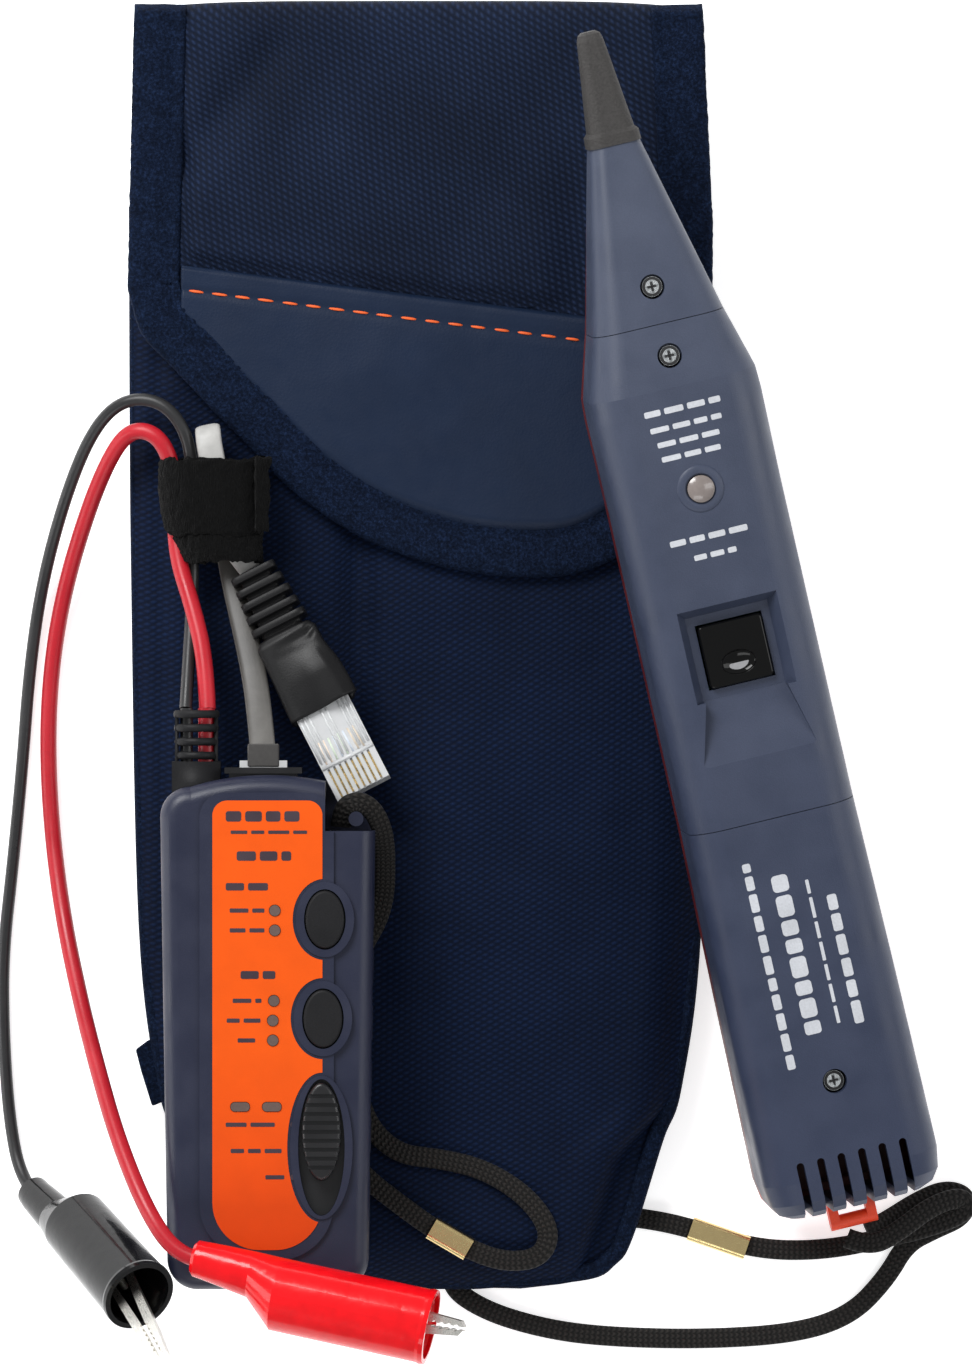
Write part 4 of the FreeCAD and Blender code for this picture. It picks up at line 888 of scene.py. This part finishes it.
def make_stitches():
    """Orange thread: raised stitches of uneven length, sunk at their ends."""
    points, faces = [], []
    rings, around = 9, circle(8)
    x = STITCHES_FROM
    while x < STITCHES_TO:
        first = len(points)
        x1 = x + 3.0 + 0.4 * ripple(x, 0, 7, 2.2)
        for r in range(rings):
            t = r / (rings - 1)
            px = x + (x1 - x) * t
            py = panel_y(px) - STITCH_DROP
            lift = math.sin(math.pi * t) ** 0.6
            z = max(flap_height(px, min(py, panel_y(px) - 4)), 17.0) + 0.36 + 0.30 * lift
            radius = 0.29 * (0.45 + 0.55 * lift)
            points.extend((px, py + radius * c, z + radius * 0.9 * s) for c, s in around)
        faces += grid_faces(rings, len(around), wrap=True, start=first)
        cap_ends(faces, rings, len(around), start=first)
        x = x1 + 1.75 + 0.3 * ripple(x, 0, 4, 6.1)
    piece("flap_stitches", points, faces, "thread", "flap")


def make_belt_loop():
    """Webbing loop on the back: a flat strap turned up at both ends."""
    profile = [(-34.8, 5.4), (-34.9, 2.6), (-34.2, 0.7), (-32.4, 0.15), (-20, 0.1), (0, 0.1), (20, 0.1),
               (40, 0.1), (52.2, 0.15), (54.2, 0.7), (54.9, 2.6), (54.8, 5.4)]
    line = smooth_line(profile, 6)
    columns = np.linspace(-25, 25, 30)
    points = [(x, y, max(0.05, z) + (0.12 if abs(x) > 23.6 else 0.0)) for y, z in line for x in columns]
    strap = piece("belt_strap", points, grid_faces(len(line), len(columns)), "webbing", "pouch")
    thicken(strap, "webbing", 1.1, offset=1.0)
    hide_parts("belt_loop")


def make_side_tab():
    """Small pointed end of tape that sticks out of the left seam."""
    shape = [(-50.0, -78.0), (-55.8, -80.6), (-58.2, -82.4), (-57.0, -87), (-54.8, -94.0), (-50.0, -92)]
    points = [(x, y, 6.2) for x, y in shape] + [(x, y, 7.4) for x, y in shape]
    n = len(shape)
    faces = [tuple(range(n)), tuple(range(2 * n - 1, n - 1, -1))]
    faces += [((i + 1) % n, i, i + n, (i + 1) % n + n) for i in range(n)]
    tab = piece("side_tab", points, faces, "tape", "pouch", smooth=False)
    bevel(tab, 0.4, segments=2)


# ------------------------------------------------------------------ strap round the leads
WRAP_MIDDLE_Z = 20.4
# y, left, right, half depth
WRAP_UPPER = [(38.2, -52.6, -31.8, 6.0), (37.6, -53.0, -31.3, 6.4), (33, -53.2, -31.2, 6.6),
              (27, -52.6, -31.4, 6.6), (23.4, -51.6, -31.8, 6.5), (22.6, -50.8, -32.2, 6.2)]
WRAP_LOWER = [(24.0, -50.0, -32.4, 5.8), (22.0, -50.2, -32.2, 6.0), (19.0, -49.0, -31.9, 5.9),
              (17.2, -48.0, -32.0, 5.6)]


def waver(x, y, z):
    """Smooth noise at a point, between -1 and 1."""
    return noise.noise(Vector((x, y, z)))


def wrap_layer(name, stations, seed):
    """A turn of the fuzzy strap: an oval sleeve with uneven edges."""
    around, rows = circle(110), 34
    keys = np.array(stations, float)
    t = np.linspace(0, 1, len(keys))
    points = []
    for r in range(rows):
        v = r / (rows - 1)
        y, left, right, depth = (float(np.interp(v, t, keys[:, k])) for k in range(4))
        edge = math.exp(-min(v, 1 - v) * 9)
        for c, s in around:
            x = (left + right) / 2 + (right - left) / 2 * squared(c, 0.72)
            z = WRAP_MIDDLE_Z + depth * squared(s, 0.72)
            ragged = 0.8 * waver(x * 0.5, z * 0.5, seed) + 0.35 * waver(x * 2, z * 2, seed)
            fuzz = 0.34 * waver(x * 1.6, y * 0.9, z * 1.6 + seed) + 0.3 * waver(x * 3, y * 2, z * 3)
            points.append((x + fuzz * c, y + edge * ragged, z + fuzz * s))
    layer = piece(name, points, grid_faces(rows, len(around), wrap=True), "pile", "toner")
    thicken(layer, "strap", 1.2)
    return layer


def make_cord_strap():
    """Hook-and-loop strap: two turns of uneven width, and the cut edge of its tail."""
    upper = wrap_layer("strap_upper_turn", WRAP_UPPER, 2.1)
    wrap_layer("strap_lower_turn", WRAP_LOWER, 5.7)
    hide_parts("cord_wrap")
    rows, columns = 22, 8
    points = []
    for r in range(rows):
        v = r / (rows - 1)
        for c in range(columns):
            u = c / (columns - 1)
            y = 38.4 - 15.0 * v
            x = -33.4 + 2.6 * u + 0.9 * u * waver(v * 7, 1.3, 0)
            z = WRAP_MIDDLE_Z + 6.9 - 1.6 * u * u + 0.3 * waver(v * 5, u * 3, 4)
            points.append((x, y + 0.7 * waver(u * 4, v * 2, 3), z))
    tail = piece("strap_tail_edge", points, grid_faces(rows, columns, flip=True), "pile", "toner")
    thicken(tail, "strap", 1.1, offset=0.0)


# ------------------------------------------------------------------ network plug's boot
PLUG_START, PLUG_TOWARDS = Vector((-34.2, 15.8, 21)), Vector((-10.2, -31.0, 27.6))
BOOT_BLOCK_X, BOOT_END_X = 14.8, 32.4
BOOT_SEAT = (6.0, 3.6)
# one rib of the boot's neck: distance along it, and how far its surface moves outwards
RIB_STEPS = ((0.0, -1.0), (0.05, -0.1), (0.2, 0.0), (1.35, 0.0), (1.5, -0.1), (1.55, -1.0), (1.65, -1.6),
             (2.75, -1.6))
RIBS, RIB_PITCH = 5, 2.85
BOOT_AROUND = circle(72)
BOX_FACES = [(0, 3, 2, 1), (4, 5, 6, 7), (0, 1, 5, 4), (1, 2, 6, 5), (2, 3, 7, 6), (3, 0, 4, 7)]


def plug_frame(x, y, z):
    """A point of the plug's own frame (x along the plug) in the pouch's frame."""
    ahead = (PLUG_TOWARDS - PLUG_START).normalized()
    side = UP.cross(ahead).normalized()
    above = ahead.cross(side)
    return PLUG_START + ahead * x + side * y + above * z


def boot_ring(x, half_y, half_z, square):
    """Points of one section of the boot, a rounded rectangle."""
    return [(x, half_y * squared(c, square), half_z * squared(s, square)) for c, s in BOOT_AROUND]


def boot_surface(x, y, z):
    """Raises the latch cover's arch and sinks the creases beside it."""
    top = ease(z, 0.5, 3.5)
    arch = ease(x, 19.0, 26.0)
    z += top * arch * 2.7 * math.exp(-((y - 2.9) / 2.7) ** 2)
    z -= top * 1.3 * ease(x, 15.2, 18) * math.exp(-((y + 1.5 - 0.06 * (x - 15)) / 0.6) ** 2)
    z -= top * 1.1 * math.exp(-((x - 19.4 + 0.5 * y) / 1.1) ** 2) * ease(y, -1, 2.5)
    y += 0.9 * arch * ease(y, 2, 6) * top
    return x, y, z


def make_plug_boot():
    """Soft boot: ribbed neck, then a block with the latch cover's arch over its right half."""
    rings = [boot_ring(0.3, 3.2, 3.0, 0.6)]
    for i in range(RIBS):
        x = 0.5 + RIB_PITCH * i
        wide = 4.9 + 0.28 * i
        for step, grow in RIB_STEPS:
            rings.append(boot_ring(x + step, wide + grow, 4.1 + 0.1 * i + grow, 0.3))
    rings.append(boot_ring(BOOT_BLOCK_X + 0.1, 5.6, 4.0, 0.4))
    for x in np.linspace(BOOT_BLOCK_X + 0.4, BOOT_END_X, 46):
        swell = ease(x, BOOT_BLOCK_X, BOOT_BLOCK_X + 1.6)
        flare = 0.5 * ease(x, BOOT_BLOCK_X + 3, BOOT_END_X)
        rings.append(boot_ring(x, 5.6 + 0.95 * swell + flare, 4.0 + 0.6 * swell, 0.22))
    for x, grow in ((BOOT_END_X + 0.25, -0.35), (BOOT_END_X + 0.1, -0.8)):
        rings.append(boot_ring(x, 7.05 + grow, 4.6 + grow, 0.22))
    rings.append(boot_ring(BOOT_END_X - 3.2, *BOOT_SEAT, 0.25))
    points = []
    for ring in rings:
        for x, y, z in ring:
            if x > BOOT_BLOCK_X:
                x, y, z = boot_surface(x, y, z)
            points.append(plug_frame(x, y, z))
    faces = grid_faces(len(rings), len(BOOT_AROUND), wrap=True)
    faces.append(tuple(range(len(BOOT_AROUND)))[::-1])
    made = piece("plug_boot_cover", points, faces, "boot", "toner")
    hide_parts("plug_boot")


def rod_mesh(points, faces, start, end, radius, flat=1.0):
    """Adds a short round bar in the plug's frame to a list of points and faces."""
    first, around = len(points), circle(8)
    for x, y, z in (start, end):
        points.extend(plug_frame(x, y + radius * c, z + radius * flat * s) for c, s in around)
    faces += grid_faces(2, len(around), wrap=True, start=first)
    cap_ends(faces, 2, len(around), start=first)


def box_mesh(points, faces, low, high, place):
    """Adds a box to a list of points and faces."""
    first = len(points)
    (x0, y0, z0), (x1, y1, z1) = low, high
    for z in (z0, z1):
        points.extend(place(x, y, z) for x, y in ((x0, y0), (x1, y0), (x1, y1), (x0, y1)))
    faces.extend(tuple(first + i for i in quad) for quad in BOX_FACES)


def make_plug_details():
    """Fine ridges and the wires' ends on the clear plug, and the line plug's catch."""
    ridges, ridge_faces = [], []
    for y in (-5.3, -4.4, -3.3, -0.5, 0.6, 3.4, 4.4, 5.3):
        rod_mesh(ridges, ridge_faces, (30.5, y, 3.22), (42.6, y, 3.22), 0.3, flat=1.3)
    box_mesh(ridges, ridge_faces, (43.3, -5.8, 3.2), (44.0, 5.8, 3.5), plug_frame)
    piece("plug_ridges", ridges, ridge_faces, "plug", "toner")
    for wire, (_, lanes) in WIRES.items():
        points, faces = [], []
        for y in lanes:
            rod_mesh(points, faces, (38.4, y, 3.12), (43.2, y * 1.1, 3.14), 0.28)
        piece("plug_" + wire, points, faces, wire, "toner")
    points, faces = [], []
    box_mesh(points, faces, (-4.2, 53.5, 16.0), (2.2, 58.2, 16.6), toner_frame)
    bevel(piece("line_plug_catch", points, faces, "latch", "toner", smooth=False), 0.25)


# ------------------------------------------------------------------ marks and rings on the tools
TONER_AT = Vector((-30.6, -77.9, 16.6))
LABEL_TOP = 26.95
PROBE_TAIL = Vector((88.3, -112.6, 16.45))
PROBE_TURN = (12.9, 6.5, 6.0)
PROBE_DEEP = 28.0
LENS_Y = 150.3
# lines of print on each tool: start, end, place across, half height
TONER_WORDS = ((-7.6, -0.6, 24.6, 0.42), (-7.6, -0.6, 20.6, 0.42), (-7.0, -1.2, 6.4, 0.42),
               (-8.2, -1.4, 2.4, 0.42), (-6.0, -1.4, -1.6, 0.42), (-8.4, 1.2, 29.4, 0.75),
               (-5.4, 1.6, 11.6, 0.8), (-8.4, 3.4, -18.6, 0.42), (-7.4, 3.4, -23.9, 0.42),
               (-0.4, 3.4, -29.2, 0.42), (-8.4, 8.4, 43.6, 1.05), (-7.4, 8.0, 40.4, 0.34),
               (-6.2, 4.8, 35.6, 0.95))
PROBE_WORDS = ((-7.9, 7.9, 167.2, 0.62), (-7.4, 7.4, 163.8, 0.55), (-6.6, 6.4, 160.7, 0.55),
               (-6.4, 6.2, 157.7, 0.55), (-8.6, 8.2, 140.6, 0.62), (-4.4, 4.4, 136.8, 0.55))
COVER_WORDS = ((31, 74, -8.0, 0.85), (37, 72, -2.0, 1.7), (38, 68, 3.4, 0.35), (37, 64, 7.6, 1.0))
# the strain relief's rings, half the width and half the height of each ring's section
RINGS, RING_PITCH, RING_TUBE = 4, 2.8, (0.62, 0.85)
# each lead inside the strain relief: its colour, x and radius
RELIEF_LEADS, LEAD_Z = (("black", -47.2, 1.3), ("red", -43.2, 1.7)), 29.6
# y along the probe and height of each screw's head
SCREW_SEATS = ((26.6, 26.5), (177.8, 26.5), (191.9, 23.5))


def toner_frame(x, y, z):
    """A point of the toner's own frame in the pouch's frame."""
    return TONER_AT + Vector((x, y, z))


def probe_frame(x, y, z):
    """A point of the probe's own frame (y along the probe) in the pouch's frame."""
    heading, pitch, roll = (math.radians(a) for a in PROBE_TURN)
    turn = Matrix.Rotation(heading, 3, "Z") @ Matrix.Rotation(pitch, 3, "X") @ Matrix.Rotation(roll, 3, "Y")
    return PROBE_TAIL + turn @ Vector((x, y, z - PROBE_DEEP / 2))


def probe_frame_along(y, x, z):
    """The same with its first two values swapped, for print that runs along the probe."""
    return probe_frame(x, y, z)


def as_given(x, y, z):
    return x, y, z


def bars(name, rows, place, key, body, height=0.06):
    """Plain rounded bars (x, y, half length, half height, z) laid on a surface: print, and also painted shade
    and a painted highlight.
    """
    points, faces = [], []
    for x, y, long, tall, z in rows:
        first = len(points)
        corner = min(long, tall) * (1.0 if abs(long - tall) < 0.01 else 0.5)
        outline = []
        for cx, cy, turn in ((1, 1, 0), (-1, 1, 90), (-1, -1, 180), (1, -1, 270)):
            for step in range(0, 91, 18):
                a = math.radians(turn + step)
                outline.append((x + cx * (long - corner) + corner * math.cos(a),
                                y + cy * (tall - corner) + corner * math.sin(a)))
        for level in (z - 0.1, z + height):
            points.extend(place(px, py, level) for px, py in outline)
        n = len(outline)
        faces.append(tuple(first + n + k for k in range(n)))
        faces += grid_faces(2, n, wrap=True, start=first)
    piece(name, points, faces, key, body, smooth=False)


def words(lines, z, seed):
    """Broken lines of bars, each bar about as long as a word."""
    rows = []
    for x, end, y, tall in lines:
        while x < end - 1.2:
            long = min(end - x, 3.6 + 2.2 * waver(x * 0.37, y * 0.61, seed))
            rows.append((x + long / 2, y, long / 2, tall, z))
            x += long + 0.8
    return rows


def make_marks():
    """Plain dots and bars where the real tools carry print, dark bars of painted shade in the screws' slots,
    and a pale bar of painted highlight in the button's dish.
    """
    dots = [(5.2, y, 0.62, 0.62, LABEL_TOP) for y in (-18.6, -23.9, -29.2)]
    bars("toner_marks", dots + words(TONER_WORDS, LABEL_TOP, 1.0), toner_frame, "print", "toner")
    bars("probe_marks", words(PROBE_WORDS, PROBE_DEEP, 3.0), probe_frame, "white_print", "probe")
    bars("battery_cover_marks", words(COVER_WORDS, PROBE_DEEP, 5.0), probe_frame_along, "white_print",
         "probe")
    # painted shade: dark crosses in the screws' slots
    slots = []
    for y, seat in SCREW_SEATS:
        slots += [(0.0, y, 0.95, 0.2, seat + 0.02), (0.0, y, 0.2, 0.95, seat + 0.02)]
    bars("painted_screw_slot_shade", slots, probe_frame, "dark", "probe", height=0.03)
    # painted highlight: a pale glossy bar in the button's dish
    bars("painted_dish_glint", [(0.2, 113.2, 2.1, 0.75, 25.0)], probe_frame, "glint", "probe_button")


def make_screw_wells():
    """Painted shade: dark rings round the screw heads, down in their bores."""
    around = circle(40)
    points, faces = [], []
    for y, seat in SCREW_SEATS:
        first = len(points)
        for radius in (1.42, 2.0):
            points.extend(probe_frame(radius * c, y + radius * s, seat + 0.06) for c, s in around)
        faces += grid_faces(2, len(around), wrap=True, flip=True, start=first)
    # dark rings of painted shade
    piece("painted_screw_well_shade", points, faces, "dark", "probe")


def make_relief_rings():
    """The open rings of the toner's strain relief, with the two leads seen between them."""
    low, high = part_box("strain_relief")
    x0, y0, z0 = (c / MM for c in low)
    x1, y1, z1 = (c / MM for c in high)
    middle_x, middle_z = (x0 + x1) / 2, (z0 + z1) / 2
    around, tube = circle(48), circle(10)
    points, faces = [], []
    for i in range(RINGS):
        first = len(points)
        wide = 4.1 - 0.12 * i
        for c, s in around:
            for out, up in tube:
                reach = wide + RING_TUBE[0] * out
                y = y1 - 1.0 - RING_PITCH * i + RING_TUBE[1] * up
                points.append((middle_x + reach * c, y, middle_z + (reach - 0.3) * s))
        faces += grid_faces(len(around), len(tube), wrap=True, start=first, ring=True)
    # the block at the toner's end and the two side webs that carry the rings
    box_mesh(points, faces, (x0 + 0.1, y0, z0 + 0.1), (x1 - 0.1, y1 - 10.6, z1 - 0.1), as_given)
    for web in (middle_x - 4.0, middle_x + 4.0):
        box_mesh(points, faces, (web - 0.35, y0 + 2.0, middle_z - 1.6),
                 (web + 0.35, y1 - 1.0, middle_z + 1.6), as_given)
    made = piece("strain_relief_rings", points, faces, "rubber", "toner")
    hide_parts("strain_relief")
    around = circle(20)
    for tint, x, radius in RELIEF_LEADS:
        points = [(x + radius * c, y, LEAD_Z + radius * s) for y in (y0 + 1.0, y1 + 0.2) for c, s in around]
        faces = grid_faces(2, len(around), wrap=True, flip=True)
        piece(f"relief_{tint}_core", points, faces, tint + "_lead", "toner")


def make_lens_ring():
    """Low rim round the probe's lamp."""
    profile = [(2.9, 27.6), (2.95, 28.18), (3.3, 28.34), (3.9, 28.34), (4.5, 28.2), (4.85, 28.0), (4.9, 27.8)]
    around = circle(64)
    points = [probe_frame(r * c, LENS_Y + r * s, z) for c, s in around for r, z in profile]
    piece("lamp_rim", points, grid_faces(len(around), len(profile), ring=True), "slate", "probe")


# ------------------------------------------------------------------ stage
FLOOR = 3.0


def make_stage():
    """Pale floor that glows a little, so that shadows on it stay faint as in the photo."""
    corners = [(-FLOOR, -FLOOR, 0), (FLOOR, -FLOOR, 0), (FLOOR, FLOOR, 0), (-FLOOR, FLOOR, 0)]
    mesh = bpy.data.meshes.new("floor")
    mesh.from_pydata(corners, [], [(0, 1, 2, 3)])
    finish = Finish("floor", (0.95, 0.95, 0.95), 0.9, Specular_IOR_Level=0.2)
    finish.color(finish.spread(finish.noise(300, 2), 0.94, 0.96))
    finish.set("Emission Color", (1, 1, 1, 1))
    finish.set("Emission Strength", 0.62)
    mesh.materials.append(finish.done())
    floor = bpy.data.objects.new("floor", mesh)
    floor.location.z = -0.0002
    bpy.context.scene.collection.objects.link(floor)


def area_light(name, place, size, power):
    data = bpy.data.lights.new(name, "AREA")
    data.shape = "RECTANGLE"
    data.size, data.size_y = size
    data.energy = power
    lamp = bpy.data.objects.new(name, data)
    lamp.location = place
    aim = Vector((0.0, 0.0, 0.02)) - Vector(place)
    lamp.rotation_euler = aim.to_track_quat("-Z", "Y").to_euler()
    bpy.context.scene.collection.objects.link(lamp)


def make_lights():
    world = bpy.data.worlds.new("studio")
    world.use_nodes = True
    background = world.node_tree.nodes["Background"]
    background.inputs["Color"].default_value = (0.96, 0.98, 1.0, 1)
    background.inputs["Strength"].default_value = 0.42
    bpy.context.scene.world = world
    area_light("key", (-0.36, 0.52, 0.62), (0.4, 0.4), 7.4)
    area_light("left", (-1.0, -0.15, 0.35), (0.3, 0.6), 2.2)
    area_light("side", (0.95, 0.15, 0.8), (0.5, 0.9), 4)
    area_light("front", (0.05, -1.0, 0.9), (0.9, 0.4), 3.5)
    bpy.context.scene.view_settings.view_transform = "Standard"


CAD_FINISHES = {
    "slate": ("probe_battery_cover", "probe_front_shell", "probe_nose_cover"),
    "orange": ("probe_rear_shell",),
    "tip": ("probe_tip",),
    "steel": ("probe_screws", "toner_screws", "probe_antenna"),
    "lens": ("probe_lens",),
    "gloss": ("probe_button",),
    "board": ("probe_circuit_board", "toner_circuit_board"),
    "knob": ("probe_button_switch", "probe_speaker", "probe_battery_snap", "toner_switches",
             "toner_slide_tray", "toner_slide_knob", "line_jack"),
    "battery": ("probe_battery", "toner_battery"),
    "dark_slate": ("toner_front_shell", "toner_rear_shell", "toner_battery_door"),
    "label": ("toner_label",),
    "lamp": ("toner_lamps",),
    "rubber": ("toner_power_button", "toner_tone_button"),
    "plug": ("line_plug", "network_plug", "plug_latch"),
    "contact": ("plug_contacts",),
    "brass": ("probe_ferrule", "toner_ferrule"),
    "black_vinyl": ("black_boot",),
    "red_vinyl": ("red_boot",),
    "nickel": ("black_lower_jaw", "black_upper_jaw", "black_pivot", "red_lower_jaw", "red_upper_jaw",
               "red_pivot"),
    "patch": ("closure_loop_patch", "closure_hook_patch"),
}


def dress_cad_nodes():
    """The finish of each CAD node that no Blender piece replaces."""
    for key, nodes in CAD_FINISHES.items():
        for node in nodes:
            for material_slot in NODES[node].material_slots:
                material_slot.material = MAT[key]


make_camera()
make_cords()
dress_cad_nodes()
make_pocket_front()
make_pouch_back()
make_pouch_binding()
make_flap_fabric()
make_flap_tape()
make_flap_panel()
make_stitches()
make_belt_loop()
make_side_tab()
make_cord_strap()
make_plug_boot()
make_plug_details()
make_marks()
make_screw_wells()
make_lens_ring()
make_relief_rings()
make_stage()
make_lights()
